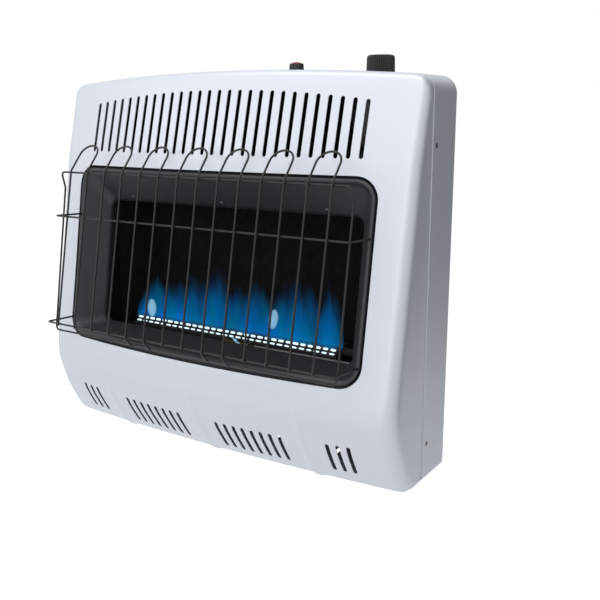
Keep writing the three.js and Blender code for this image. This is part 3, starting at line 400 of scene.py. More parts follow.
def imported_material(name):
    """Plain material that the frame brings. The finish of the same name is stored with a number behind it."""
    return bpy.data.materials[name]


def hand_over(obj, body, slot, material, *nodes):
    """The piece takes its material, moves with its body and stands for its solids. Its slot is not used."""
    obj.data.materials.clear()
    obj.data.materials.append(material)
    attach(obj, body)
    if nodes:
        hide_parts(*nodes)
    return obj


def rounded_path(points, radius, steps=10):
    """Line through [x, depth, height] points with rounded corners."""
    p = [np.array(q, float) for q in points]
    path = [p[0]]
    for i in range(1, len(p) - 1):
        back, ahead = p[i - 1] - p[i], p[i + 1] - p[i]
        lb, la = np.linalg.norm(back), np.linalg.norm(ahead)
        bend = math.acos(np.clip(back @ ahead / (lb * la), -1, 1))
        reach = min(radius / math.tan(bend / 2), 0.48 * lb, 0.48 * la)
        a, b = p[i] + back / lb * reach, p[i] + ahead / la * reach
        for k in range(steps + 1):
            t = k / steps
            path.append(a * (1 - t) ** 2 + p[i] * 2 * t * (1 - t) + b * t * t)
    path.append(p[-1])
    return path


def rod_along(path, radius, sides=14, loop=False, domed=True):
    """Round wire along a path, with softly rounded ends."""
    path = [np.array(q, float) for q in path]
    n = len(path)
    tangents = []
    for i in range(n):
        a = path[(i - 1) % n if loop else max(i - 1, 0)]
        b = path[(i + 1) % n if loop else min(i + 1, n - 1)]
        tangents.append((b - a) / np.linalg.norm(b - a))
    normal = np.array([0.0, 0, 1]) if abs(tangents[0][2]) < 0.9 else np.array([0.0, 1, 0])
    stations = []
    for p, t in zip(path, tangents):
        normal = normal - t * (normal @ t)
        normal /= np.linalg.norm(normal)
        stations.append((p, t, normal.copy(), np.cross(t, normal), radius))
    if not loop and domed:
        for end, sign in ((0, -1), (-1, 1)):
            p, t, u, v, r = stations[end]
            dome = [(p, t, u, v, r * 0.999), (p + t * sign * r * 0.25, t, u, v, r * 0.8)]
            dome.append((p + t * sign * r * 0.35, t, u, v, r * 0.45))
            stations = dome[::-1] + stations[1:] if end == 0 else stations[:-1] + dome
    points = []
    for p, t, u, v, r in stations:
        for k in range(sides):
            a = 2 * math.pi * k / sides
            points.append(p + u * r * math.cos(a) + v * r * math.sin(a))
    faces = grid_faces(len(stations), sides, True)
    last = (len(stations) - 1) * sides
    if loop:
        faces += [[last + k, last + (k + 1) % sides, (k + 1) % sides, k] for k in range(sides)]
    else:
        faces += [list(range(sides))[::-1], list(range(last, last + sides))]
    return points, faces


# ---------------------------------------------------------------- finishes


class Finish:
    """A principled material whose colour, roughness and bump come from noise at the real scale."""

    def __init__(self, name, colour, roughness, metallic=0.0):
        self.material = bpy.data.materials.new(name)
        self.material.use_nodes = True
        self.tree = self.material.node_tree
        self.shader = self.tree.nodes["Principled BSDF"]
        self.shader.inputs["Metallic"].default_value = metallic
        self.shader.inputs["Base Color"].default_value = (*colour, 1)
        self.shader.inputs["Roughness"].default_value = roughness
        self.colour = colour
        self.coords = self.tree.nodes.new("ShaderNodeTexCoord").outputs["Object"]
        self.bumps = []

    def noise(self, scale, detail=3.0, stretch=(1, 1, 1), rough=0.5):
        mapping = self.tree.nodes.new("ShaderNodeMapping")
        mapping.inputs["Scale"].default_value = stretch
        self.tree.links.new(self.coords, mapping.inputs["Vector"])
        node = self.tree.nodes.new("ShaderNodeTexNoise")
        node.inputs["Scale"].default_value = scale
        node.inputs["Detail"].default_value = detail
        node.inputs["Roughness"].default_value = rough
        self.tree.links.new(mapping.outputs[0], node.inputs["Vector"])
        return node.outputs["Fac"]

    def ramp(self, value, stops):
        node = self.tree.nodes.new("ShaderNodeValToRGB")
        bar = node.color_ramp
        bar.elements[0].position, bar.elements[0].color = stops[0][0], (*stops[0][1], 1)
        bar.elements[1].position, bar.elements[1].color = stops[-1][0], (*stops[-1][1], 1)
        for position, colour in stops[1:-1]:
            bar.elements.new(position).color = (*colour, 1)
        self.tree.links.new(value, node.inputs[0])
        return node.outputs["Color"]

    def tint(self, scale, dark, light, detail=4.0, stretch=(1, 1, 1), spread=(0.3, 0.7)):
        """Colour that drifts between two shades of the base."""
        stops = [(s, tuple(c * k for c in self.colour)) for s, k in zip(spread, (dark, light))]
        shade = self.ramp(self.noise(scale, detail, stretch), stops)
        self.tree.links.new(shade, self.shader.inputs["Base Color"])
        return self

    def polish(self, scale, low, high, stretch=(1, 1, 1), detail=3.0):
        """Roughness that varies between two values."""
        node = self.tree.nodes.new("ShaderNodeMapRange")
        node.inputs["From Min"].default_value = 0.3
        node.inputs["From Max"].default_value = 0.7
        node.inputs["To Min"].default_value = low
        node.inputs["To Max"].default_value = high
        self.tree.links.new(self.noise(scale, detail, stretch), node.inputs["Value"])
        self.tree.links.new(node.outputs[0], self.shader.inputs["Roughness"])
        return self

    def grain(self, scale, depth, stretch=(1, 1, 1), detail=3.0, strength=1.0):
        """Bump of a real depth in metres."""
        node = self.tree.nodes.new("ShaderNodeBump")
        node.inputs["Distance"].default_value = depth
        node.inputs["Strength"].default_value = strength
        self.tree.links.new(self.noise(scale, detail, stretch), node.inputs["Height"])
        if self.bumps:
            self.tree.links.new(self.bumps[-1], node.inputs["Normal"])
        self.bumps.append(node.outputs[0])
        self.tree.links.new(node.outputs[0], self.shader.inputs["Normal"])
        return self

    def shine(self, level):
        self.shader.inputs["Specular IOR Level"].default_value = level
        return self

    def coat(self, weight, roughness):
        self.shader.inputs["Coat Weight"].default_value = weight
        self.shader.inputs["Coat Roughness"].default_value = roughness
        return self


def finishes(colours):
    """Every finish, by the name of its slot, for the solids that keep their own shape."""
    made = {
        "white_enamel": Finish("white_enamel", colours.enamel, 0.1)
        .tint(9, 0.985, 1.01)
        .polish(60, 0.08, 0.13)
        .grain(420, 0.00002, detail=2, strength=0.3)
        .coat(1.0, 0.03),
        "surround_black": Finish("surround_black", colours.surround, 0.5)
        .tint(240, 0.85, 1.14)
        .polish(700, 0.42, 0.6)
        .grain(1500, 0.00005, strength=0.5)
        .shine(0.13),
        "firebox_black": Finish("firebox_black", (0.003, 0.003, 0.0035), 0.9)
        .tint(35, 0.6, 1.6)
        .polish(90, 0.8, 0.95)
        .grain(900, 0.00008, strength=0.6)
        .shine(0.12),
        "guard_black": Finish("guard_black", colours.wire, 0.4)
        .tint(260, 0.75, 1.3)
        .polish(500, 0.42, 0.6)
        .grain(1800, 0.00003, strength=0.5)
        .shine(0.1),
        "burner_steel": Finish("burner_steel", (0.02, 0.02, 0.022), 0.7, 0.3)
        .tint(45, 0.5, 1.3)
        .polish(160, 0.6, 0.8)
        .grain(700, 0.00004, (1, 1, 6))
        .shine(0.2),
        "zinc": Finish("zinc", (0.12, 0.12, 0.13), 0.4, 1)
        .tint(300, 0.7, 1.15)
        .polish(700, 0.3, 0.5)
        .grain(900, 0.00002),
        "galvanised": Finish("galvanised", (0.3, 0.315, 0.33), 0.5, 0.9)
        .tint(70, 0.72, 1.2, 6)
        .polish(110, 0.38, 0.62)
        .grain(600, 0.00003),
        # Much darker than bare brass: painted shade for the pilot parts under the burner, shared by every brass
        # piece.
        "brass": Finish("brass", (0.05, 0.036, 0.017), 0.5, 1)
        .tint(120, 0.6, 1.2)
        .polish(400, 0.4, 0.6)
        .grain(800, 0.00002, (8, 1, 1)),
        "aluminium": Finish("aluminium", (0.2, 0.2, 0.21), 0.55, 1)
        .tint(90, 0.8, 1.1)
        .polish(300, 0.45, 0.65)
        .grain(1100, 0.00004),
        # Much darker than bare copper: painted shade for the thermocouple lead under the burner.
        "copper": Finish("copper", (0.035, 0.017, 0.011), 0.6, 1)
        .tint(140, 0.6, 1.3)
        .polish(300, 0.5, 0.7)
        .grain(900, 0.00002, (6, 1, 1)),
        "knob_black": Finish("knob_black", colours.knob, 0.4)
        .tint(400, 0.8, 1.3)
        .polish(900, 0.36, 0.54)
        .grain(2200, 0.00004)
        .shine(0.08),
        "button_red": Finish("button_red", colours.button, 0.3)
        .tint(250, 0.9, 1.08)
        .polish(600, 0.22, 0.38)
        .grain(1500, 0.00001),
        # Near black instead of white ceramic: painted shade for the insulator under the burner.
        "ceramic": Finish("ceramic", (0.12, 0.12, 0.115), 0.4)
        .tint(160, 0.5, 1.1)
        .polish(500, 0.2, 0.4)
        .grain(900, 0.00001),
        "lead_red": Finish("lead_red", (0.05, 0.008, 0.006), 0.6)
        .tint(200, 0.7, 1.12)
        .polish(800, 0.5, 0.7)
        .grain(1800, 0.00003),
    }
    return {name: finish.material for name, finish in made.items()}


def flame_finish(name, colour, dense):
    """Thin blue glow, brightest at the ports, that breaks into upright streaks and fades towards the tips."""
    f = Finish(name, (0, 0, 0), 1.0).shine(0)
    tree, link = f.tree, f.tree.links.new
    rise = tree.nodes.new("ShaderNodeUVMap")
    split = tree.nodes.new("ShaderNodeSeparateXYZ")
    link(rise.outputs[0], split.inputs[0])
    up = split.outputs[1]

    def between(value, low, high, start, end, curve="LINEAR"):
        node = tree.nodes.new("ShaderNodeMapRange")
        node.interpolation_type = curve
        for key, number in (("From Min", low), ("From Max", high), ("To Min", start), ("To Max", end)):
            node.inputs[key].default_value = number
        link(value, node.inputs["Value"])
        return node.outputs[0]

    def times(a, b):
        node = tree.nodes.new("ShaderNodeMath")
        node.operation = "MULTIPLY"
        link(a, node.inputs[0])
        if isinstance(b, float):
            node.inputs[1].default_value = b
        else:
            link(b, node.inputs[1])
        return node.outputs[0]

    broad = between(f.noise(34, 2, (1, 1, 0.35)), 0.34, 0.66, 0.4, 1.0)
    fine = between(f.noise(110, 3, (1, 1, 0.1)), 0.35, 0.65, 0.7, 1.0)
    fade = between(up, 0.3, 1.0, 1.0, 0.0, "SMOOTHSTEP")
    link(times(times(times(fade, broad), fine), dense), f.shader.inputs["Alpha"])
    pale = tuple(c + 0.5 * d for c, d in zip(colour, (0.04, 0.75, 0.9)))
    bright, dim = (tuple(c * k for c in colour) for k in (1.5, 0.7))
    steps = [(0.0, pale), (0.045, bright), (0.35, colour), (1.0, dim)]
    hue = f.ramp(up, steps)
    shade = f.ramp(f.noise(55, 2, (1, 1, 0.22)), [(0.35, (0.5, 1.05, 0.78)), (0.65, (1.0, 0.92, 1.15))])
    mix = tree.nodes.new("ShaderNodeMix")
    mix.data_type = "RGBA"
    mix.blend_type = "MULTIPLY"
    mix.inputs["Factor"].default_value = 1.0
    link(hue, mix.inputs["A"])
    link(shade, mix.inputs["B"])
    link(mix.outputs["Result"], f.shader.inputs["Emission Color"])
    f.shader.inputs["Emission Strength"].default_value = 1.0
    return f.material


def glow_finish(name, colour, strength, soft):
    """White-hot glow, fading at its rim where soft is set."""
    f = Finish(name, (0, 0, 0), 1.0).shine(0)
    stops = [(0.35, tuple(c * 0.8 for c in colour)), (0.65, colour)]
    f.tree.links.new(f.ramp(f.noise(300), stops), f.shader.inputs["Emission Color"])
    f.shader.inputs["Emission Strength"].default_value = strength
    if soft:
        facing = f.tree.nodes.new("ShaderNodeLayerWeight")
        facing.inputs[0].default_value = 0.5
        fade = f.tree.nodes.new("ShaderNodeMapRange")
        fade.interpolation_type = "SMOOTHSTEP"
        fade.inputs["From Min"].default_value = 0.0
        fade.inputs["From Max"].default_value = soft
        fade.inputs["To Min"].default_value = 0.6
        fade.inputs["To Max"].default_value = 0.0
        f.tree.links.new(facing.outputs["Facing"], fade.inputs["Value"])
        f.tree.links.new(fade.outputs[0], f.shader.inputs["Alpha"])
    return f.material


# ---------------------------------------------------------------- settings


class HeaterSizes(bpy.types.PropertyGroup):
    sheet: FloatProperty(
        name="Casing sheet", description="Thickness of the casing steel",
        default=0.0012, unit="LENGTH",
    )
    trim: FloatProperty(
        name="Surround sheet", description="Thickness of the fire surround",
        default=0.0013, unit="LENGTH",
    )
    slot: FloatProperty(
        name="Slot width", description="Width of the air slots",
        default=0.0068, unit="LENGTH",
    )
    hoop_wire: FloatProperty(
        name="Hoop wire", description="Radius of the guard's hoops",
        default=0.0016, unit="LENGTH",
    )
    frame_wire: FloatProperty(
        name="Frame wire", description="Radius of the guard's frame wires",
        default=0.0016, unit="LENGTH",
    )
    knob: FloatProperty(
        name="Knob radius", description="Radius of the control knob",
        default=0.021, unit="LENGTH",
    )
    flutes: IntProperty(
        name="Knob flutes", description="Grooves round the control knob",
        default=40, min=8, max=80,
    )
    flame: FloatProperty(
        name="Flame height", description="Height of the tallest flame",
        default=0.112, unit="LENGTH",
    )


class HeaterColours(bpy.types.PropertyGroup):
    """Colours of the finishes. Pressed, drawn, bent and moulded pieces keep their imported material instead."""

    enamel: FloatVectorProperty(
        name="Enamel", description="Casing enamel", subtype="COLOR",
        default=(0.745, 0.79, 0.88),
    )
    surround: FloatVectorProperty(
        name="Surround", description="Fire surround", subtype="COLOR",
        default=(0.012, 0.0112, 0.0122),
    )
    wire: FloatVectorProperty(
        name="Guard", description="Guard wires", subtype="COLOR",
        default=(0.005, 0.0047, 0.0053),
    )
    knob: FloatVectorProperty(
        name="Knob", description="Knob and collar", subtype="COLOR",
        default=(0.0035, 0.004, 0.005),
    )
    button: FloatVectorProperty(
        name="Button", description="Ignition button", subtype="COLOR",
        default=(0.42, 0.05, 0.02),
    )
    flame: FloatVectorProperty(
        name="Flame", description="Flame", subtype="COLOR",
        default=(0.001, 0.11, 0.31),
    )


# ---------------------------------------------------------------- operators


class HEATER_OT_casing(bpy.types.Operator):
    """Pressed front cover with its air slots and the rear shell behind it"""

    bl_idname = "heater.casing"
    bl_label = "Casing"

    def execute(self, context):
        sizes = context.scene.heater_sizes
        enamel = imported_material("white_enamel")
        sheet, slot = sizes.sheet * 1000, sizes.slot * 1000
        grid = cover_grid()
        rows, cols = grid.shape[:2]
        cover = make_object("front_cover_pressing", grid.reshape(-1, 3), grid_faces(rows, cols), closed=False)
        middle = cover.data.polygons[(rows // 2) * (cols - 1) + cols // 2]
        if middle.normal.y > 0:
            cover.data.flip_normals()
        cover.data.shade_smooth()
        skin = cover.data.copy()
        step = cover.modifiers.new("sheet", "SOLIDIFY")
        step.thickness = sheet / 1000
        step.offset = -1
        settle(cover)
        slots = []
        for i in range(28):
            x = (i - 13.5) * 19.6
            slots.append(prism(slot_outline(x, 496, 595.5 - 17.3 * (x / 265) ** 2, slot), 85, 175, ALONG_Y))
        for first, count in ((40.3, 8), (240.9, 3)):
            for i in range(count):
                for side in (-1, 1):
                    x = side * (first + i * 17.07)
                    lift = 5 * (x / 270) ** 2
                    slots.append(prism(slot_outline(x, 26.5 + lift, 77.5 + lift, slot), 105, 228, ALONG_Y))
        screws = [
            lathe([(2.1, s * 330), (2.1, s * (HALF - 1.9)), (4.3, s * (HALF + 0.1))], 65.5, z, ALONG_X, 24)
            for s in (-1, 1)
            for z in (66, 514)
        ]
        opening = prism(rounded_loop(OPENING_HALF, *OPENING_Z, OPENING_CORNER), 95, 232, ALONG_Y)
        carve(cover, merged(*slots), opening)
        skin_normals(cover, skin)
        bpy.data.meshes.remove(skin)
        hand_over(cover, "heater", "white_enamel", enamel, "front_cover")

        band = prism(casing_outline(sheet + 0.4), SEAM - 22, SEAM + 0.1, ALONG_Y)
        lip = make_object("front_cover_lip", *band)
        bores = [
            lathe([(22.2, 590), (22.2, 640)], *KNOB, ALONG_Z, 64),
            lathe([(4.7, 590), (4.7, 640)], *IGNITER, ALONG_Z),
        ]
        core = prism(casing_outline(2 * sheet + 0.4), SEAM - 23, SEAM + 4, ALONG_Y)
        carve(lip, core, merged(*screws, *bores))
        soft_edges(lip)
        hand_over(lip, "heater", "white_enamel", enamel)

        shell = make_object("rear_shell_pressing", *prism(casing_outline(0), 0, SEAM, ALONG_Y))
        carve(
            shell,
            prism(casing_outline(sheet), -1, 8, ALONG_Y),
            prism(casing_outline(sheet), 8 + sheet, SEAM + 1, ALONG_Y),
        )
        vents = [prism(slot_outline(i * 60, 22, 62, 9), 0, 20, ALONG_Z) for i in range(-3, 4)]
        slits = [box(i * 60 - 20, i * 60 + 20, 0, 20, 92, 98) for i in range(-3, 4)]
        hooks = [box(x - 24, x + 24, 0, 20, 551, 559) for x in (-150, 150)]
        bores.append(lathe([(15, 0), (15, 12)], *SUPPLY, ALONG_Z))
        carve(shell, merged(*vents, *slits, *hooks, *bores, *screws))
        soft_edges(shell)
        hand_over(shell, "heater", "white_enamel", enamel, "rear_shell")
        return {"FINISHED"}


class HEATER_OT_surround(bpy.types.Operator):
    """Drawn dark surround that funnels back from its rolled rim to the throat of the fire"""

    bl_idname = "heater.surround"
    bl_label = "Fire surround"

    def execute(self, context):
        sizes = context.scene.heater_sizes
        throat_at = lambda z: THROAT_DEPTH + (THROAT_Z[1] - z) * MIDDLE_SLOPE * 0.96
        roll = [(-6, -9), (2.6, -9), (3.6, -5), (4.2, -1.4), (5.6, 0.2), (7.6, 0.6), (10, -1.2), (RIM, -4)]
        rim = eased(roll, 3)
        loops = []
        for s, h in rim:
            loop = rounded_loop(OPENING_HALF - s, OPENING_Z[0] + s, OPENING_Z[1] - s, OPENING_CORNER - s)
            loops.append([(x, face_at(x, z) + h, z) for x, z in loop])
        throat = rounded_loop(THROAT_HALF, *THROAT_Z, THROAT_CORNER)
        mouth = np.array([(x, throat_at(z), z) for x, z in throat])
        edge = np.array(loops[-1])
        for t in np.linspace(0, 1, 10)[1:]:
            loops.append(edge * (1 - t) + mouth * t)
        for back in (1, 3, 6, 9):
            loops.append(mouth - np.array([0, back, 0]))
        grid = np.array(loops)
        rows, cols = grid.shape[:2]
        faces = grid_faces(rows, cols, True)
        obj = make_object("fire_surround_pressing", grid.reshape(-1, 3), faces, closed=False)
        funnel = obj.data.polygons[(len(rim) + 3) * cols + 16 + 22]
        if funnel.normal.z > 0:
            obj.data.flip_normals()
        obj.data.shade_smooth()
        skin = obj.data.copy()
        step = obj.modifiers.new("sheet", "SOLIDIFY")
        step.thickness = sizes.trim
        step.offset = -1
        settle(obj)
        bores = [
            lathe([(2.0, 130), (2.0, 210)], s * 289.5, z, ALONG_Y, 20) for s in (-1, 1) for z in (205.7, 386.8)
        ]
        carve(obj, merged(*bores))
        skin_normals(obj, skin)
        bpy.data.meshes.remove(skin)
        hand_over(obj, "heater", "surround_black", imported_material("surround_black"), "fire_surround")
        return {"FINISHED"}


class HEATER_OT_guard(bpy.types.Operator):
    """Wire guard: frame, two cross wires, seven hoops and the weld beads that join them"""

    bl_idname = "heater.guard"
    bl_label = "Wire guard"

    def execute(self, context):
        sizes = context.scene.heater_sizes
        finish = imported_material("guard_black")
        thin, thick = sizes.hoop_wire * 1000, sizes.frame_wire * 1000
        lean, low, top, pitch = 0.193, 206.5, 463.3, 39.4167
        front = 247.65 - thin + 0.12
        leg_at = lambda z: front - (z - low) * lean
        behind = thin + thick + 0.3

        def wire(name, path, radius, node, loop=False):
            obj = make_object(name, *rod_along(path, radius, 16, loop))
            obj.data.shade_smooth()
            obj.data.set_sharp_from_angle(angle=math.radians(60))
            hand_over(obj, "heater", "guard_black", finish, node)

        for k in range(7):
            x0 = (2 * k - 7 + 0.5) * pitch
            r = pitch / 2
            bend = np.array([leg_at(top + 3), top + 3])
            rise = np.array([162.0, 507.0]) - bend
            length = np.linalg.norm(rise)
            up = lambda t: bend + rise * t / length

            def foot(x):
                if k in (2, 4):
                    return [[x, 230.7, 190.4], [x, leg_at(low), low]]
                return [[x, leg_at(207.2), 207.2]]

            def leg(x):
                line = [*foot(x), [x, *bend], [x, *up(length - r)]]
                return rounded_path(line, 9, 8)[:-1]

            crown = []
            for i in range(25):
                a = math.pi * (1 - i / 24)
                crown.append([x0 + r + r * math.cos(a), *up(length - r + r * math.sin(a))])
            hoop = leg(x0) + crown + leg(x0 + pitch)[::-1]
            wire(f"guard_hoop_wire_{k + 1}", hoop, thin, f"guard_hoop_{k + 1}")

        def cross(name, node, z, hole, corner):
            d = leg_at(z) - behind
            inside = face_at(289.5, hole) - 5
            line = [[-289.5, inside, hole], [-corner, d, z], [corner, d, z], [289.5, inside, hole]]
            wire(name, rounded_path(line, 8, 12), thick, node)

        cross("guard_middle_cross_wire", "guard_middle_wire", 389.5, 386.8, 289.5)
        cross("guard_lower_cross_wire", "guard_lower_wire", 209.2, 205.7, 288)
        side = 283.8
        depths = [leg_at(top) - behind, leg_at(436.6) - 15.2, leg_at(192.8) - 21.3]
        line = [
            [0, depths[0], top],
            [side, depths[0], top],
            [side, depths[1], 436.6],
            [side, depths[2], 192.8],
            [-side, depths[2], 192.8],
            [-side, depths[1], 436.6],
            [-side, depths[0], top],
            [0, depths[0], top],
        ]
        wire("guard_frame_wire", rounded_path(line, 9, 12)[:-1], thick, "guard_frame", loop=True)

        beads = []
        bead = [(0.2, -1.5), (0.9, -1.2), (1.25, -0.4), (1.25, 0.4), (0.9, 1.2), (0.2, 1.5)]
        for j in range(14):
            x = (j - 6.5) * pitch
            for z in (209.2, 389.5, top):
                d = leg_at(z) - thin
                beads.append(lathe(bead, d, z, lambda u, v, t, x=x: (x + t, u, v), 10))
        obj = make_object("guard_weld_beads", *merged(*beads))
        obj.data.shade_smooth()
        hand_over(obj, "heater", "guard_black", finish)
        return {"FINISHED"}


class HEATER_OT_controls(bpy.types.Operator):
    """Fluted control knob, ignition collar and its button"""

    bl_idname = "heater.controls"
    bl_label = "Controls"

    def execute(self, context):
        sizes = context.scene.heater_sizes
        black, red = imported_material("knob_black"), imported_material("button_red")
        radius = sizes.knob * 1000
        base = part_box("control_knob")[0].z * 1000 + HANG
        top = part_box("control_knob")[1].z * 1000 + HANG
        flutes, per = sizes.flutes, 8

        def ring(r, depth, z):
            n = flutes * per
            out = []
            for k in range(n):
                a = 2 * math.pi * k / n
                dip = depth * (0.5 - 0.5 * math.cos(a * flutes)) ** 1.6
                out.append((KNOB[0] + (r - dip) * math.cos(a), KNOB[1] + (r - dip) * math.sin(a), z))
            return out

        outer = [
            (radius - 0.4, 0.7, base), (radius, 1.1, base + 0.5), (radius - 0.2, 1.2, base + 8),
            (radius - 0.5, 1.2, top - 6),
            (radius - 0.8, 1.1, top - 3), (radius - 1.2, 0.9, top - 1.8), (radius - 1.9, 0.6, top - 0.9),
            (radius - 2.7, 0.25, top - 0.3), (radius - 3.6, 0, top), (radius - 4.6, 0, top - 0.1),
            (radius - 5.8, 0, top - 0.6), (radius - 12, 0, top - 0.8), (2, 0, top - 0.85),
        ]
        inner = [(radius - 3.6, 0, base), (radius - 3.6, 0, top - 3.5), (8.0, 0, top - 3.5), (8.0, 0, base + 1),
                 (4.3, 0, base + 1), (4.3, 0, top - 6), (1.0, 0, top - 6)]
        rings = [ring(*r) for r in reversed(inner)] + [ring(*r) for r in outer]
        n = flutes * per
        faces = grid_faces(len(rings), n, True)
        faces += [list(range(n))[::-1], list(range((len(rings) - 1) * n, len(rings) * n))]
        knob = make_object("control_knob_moulding", [p for r in rings for p in r], faces)
        mark = box(KNOB[0] - 0.7, KNOB[0] + 0.7, KNOB[1] + 5, KNOB[1] + 19, top - 1.6, top + 1)
        carve(knob, mark)
        soft_edges(knob, 40)
        hand_over(knob, "knob", "knob_black", black, "control_knob")

        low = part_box("igniter_collar")[0].z * 1000 + HANG
        profile = [
            (7.9, low), (11.5, low), (11.8, low + 0.3), (11.7, low + 2), (11.4, low + 5), (11.0, low + 9),
            (10.7, low + 10.7), (10.3, low + 11.4), (9.6, low + 11.6), (8.4, low + 11.6), (7.9, low + 11.2),
        ]
        collar = self.ring_form("igniter_collar_moulding", profile)
        soft_edges(collar, 40)
        hand_over(collar, "heater", "knob_black", black, "igniter_collar")

        foot = low + 4.2
        stem = [
            (3.6, 604), (4.2, 604.6), (4.2, foot), (7.5, foot), (7.5, low + 10.9), (7.1, low + 11.9),
            (6.2, low + 12.6), (4.8, low + 13.2), (3.2, low + 13.55), (1.2, low + 13.7),
        ]
        button = make_object("igniter_button_moulding", *lathe(stem, *IGNITER, ALONG_Z, 48))
        soft_edges(button, 40)
        hand_over(button, "button", "button_red", red, "igniter_button")
        return {"FINISHED"}

    @staticmethod
    def ring_form(name, profile, sides=64):
        points, _ = lathe(profile, *IGNITER, ALONG_Z, sides)
        faces = grid_faces(len(profile), sides, True)
        last = (len(profile) - 1) * sides
        faces += [[last + i, last + (i + 1) % sides, (i + 1) % sides, i] for i in range(sides)]
        return make_object(name, points, faces)


class HEATER_OT_fire(bpy.types.Operator):
    """Glowing ports along the burner, the pilot flame with painted glints beside it and the blue flames over them"""

    bl_idname = "heater.fire"
    bl_label = "Fire"

    # Tips and dips of the flame curtain: place along the burner and share of the flame height.
    CREST = [
        (-214, 0.1), (-207, 0.4), (-198, 0.58), (-184, 0.7), (-172, 0.74), (-157, 0.58), (-136, 0.64),
        (-119, 0.71), (-105, 0.6), (-93, 0.76), (-80, 0.82), (-58, 0.7), (-46, 0.92), (-34, 1.06),
        (-24, 0.86), (-15, 0.53), (-4, 0.62), (10, 0.72), (28, 0.7), (40, 0.82), (50, 0.91),
        (62, 0.61), (80, 0.66), (95, 0.8), (110, 0.94), (118, 0.92), (127, 1.08), (134, 0.94),
        (141, 0.82), (154, 0.93), (163, 0.68), (171, 0.55), (182, 0.8), (191, 0.98), (199, 0.86),
        (205, 0.6), (209, 0.3), (214, 0.1),
    ]

    def execute(self, context):
        sizes, colours = context.scene.heater_sizes, context.scene.heater_colours
        ports = []
        for i in range(30):
            x = (i - 14.5) * 14
            for row, fat in ((2.4, 1.0), (-4.6, 0.72)):
                d, z = 101 - 0.664 * row + 0.4, 197.75 + 0.747 * row + 0.35
                long = 5.0 + 0.5 * math.sin(2.3 * i + row)
                half = [(0.3, long), (1.2, long - 0.6), (1.9, long - 2)]
                profile = [(r * fat, -t) for r, t in half] + [(r * fat, t) for r, t in half[::-1]]
                ports.append(lathe(profile, d, z, lambda u, v, t, x=x: (x + t, u, v), 10))
        obj = make_object("burner_port_glow", *merged(*ports))
        obj.data.shade_smooth()
        white = glow_finish("port_glow", (0.72, 0.94, 1.0), 1.4, 0)
        self.unlit(hand_over(obj, "heater", "burner_steel", white))

        glow = flame_finish("flame_blue", tuple(colours.flame), 0.75)
        for n, (depth, shift, share) in enumerate(((95, 0, 1.0), (89, 5, 0.88), (98, -5, 0.72))):
            self.veil(f"flame_sheet_{n + 1}", depth, shift, share * sizes.flame * 1000, glow, n)

        # Two soft white ovals that glow among the flames.
        spots = []
        for x, z, lean in ((-168, 222, 0), (96, 236.5, 0.12)):
            profile = [
                (0.3, -18), (4.4, -15.8), (7.8, -10.4), (9.4, -2.6), (9.4, 3.4), (7.6, 10.8), (4.2, 15.9), (0.3, 18),
            ]
            spots.append(lathe(profile, x, 108, lambda u, v, t, z=z, lean=lean: (u + lean * t, v, z + t), 32))
        obj = make_object("white_glow_ovals", *merged(*spots))
        obj.data.shade_smooth()
        self.unlit(hand_over(obj, "heater", "ceramic", glow_finish("kernel_glow", (0.3, 0.6, 0.82), 1.0, 0.6)))

        tongue = [(0.3, 0), (1.5, 1), (2.4, 4), (2.5, 8), (1.8, 13), (0.9, 18), (0.2, 23)]
        licks_and_glints = []
        # The two large licks at x 38 and 29 are the pilot flame; the two small ones at x -28 and 0 are painted
        # glints on the pilot parts, drawn as glow.
        places = ((38, 120, 188, 0.8), (29, 118, 193, 0.6), (-28, 120, 186, 0.22), (0, 120, 187, 0.25))
        for x, d, z, size in places:

            def turn(u, v, t):
                return x + (u - 0.85 * t) * size, d + v * size, z + (0.35 * t + u) * size

            licks_and_glints.append(lathe(tongue, 0, 0, turn, 16))
        obj = make_object("pilot_flame_and_painted_glints", *merged(*licks_and_glints))
        obj.data.shade_smooth()
        self.unlit(hand_over(obj, "heater", "ceramic", glow_finish("pilot_glow", (0.35, 0.68, 0.95), 0.9, 0.9)))
        return {"FINISHED"}

    @staticmethod
    def unlit(obj):
        """Seen by the camera without lighting the casing blue."""
        obj.visible_diffuse = False
        obj.visible_glossy = False

    def veil(self, name, depth, shift, tall, finish, seed):
        cols, rows = 220, 22
        xs = np.linspace(-214, 214, cols)
        at, share = np.array(self.CREST).T
        crest = np.interp(np.clip(xs - shift, -214, 214), at, share)
        soften = np.hanning(11)
        crest = np.convolve(np.pad(crest, 4, mode="edge"), soften[1:-1] / soften.sum(), mode="valid")
        crest *= 1 + 0.05 * np.sin(xs * 0.21 + 2 * seed) + 0.03 * np.sin(xs * 0.57 + seed)
        points, uvs = [], []
        for i in range(rows):
            t = i / (rows - 1)
            for j, x in enumerate(xs):
                wave = 2.4 * math.sin(x * 0.11 + seed * 2 + 5 * t) + 1.2 * math.sin(x * 0.29 + seed - 7 * t)
                sway = 5 * t * t * math.sin(0.02 * x + seed) + 1.5 * t * math.sin(0.09 * x + 6 * t)
                points.append((
                    np.clip(x + sway, -214, 214),
                    depth + wave * (0.2 + t) - 8 * t,
                    200.5 - 0.3 * (depth - 95) + crest[j] * tall * t,
                ))
                uvs.append((j / (cols - 1), t))
        obj = make_object(name, points, grid_faces(rows, cols), closed=False)
        layer = obj.data.uv_layers.new(name="rise")
        for loop in obj.data.loops:
            layer.data[loop.index].uv = uvs[loop.vertex_index]
        obj.data.shade_smooth()
        self.unlit(hand_over(obj, "heater", "burner_steel", finish))


class HEATER_OT_finishes(bpy.types.Operator):
    """Finishes on every solid that keeps its own shape, each in its slot"""

    bl_idname = "heater.finishes"
    bl_label = "Finishes"

    def execute(self, context):
        made = finishes(context.scene.heater_colours)
        slot_of = {p["node"]: p["material_slot"] for p in frame["record"]["subparts"]}
        for node, obj in frame["nodes"].items():
            for i in range(max(1, len(obj.material_slots))):
                if obj.material_slots:
                    obj.material_slots[i].link = "OBJECT"
                    obj.material_slots[i].material = made[slot_of[node]]
        return {"FINISHED"}


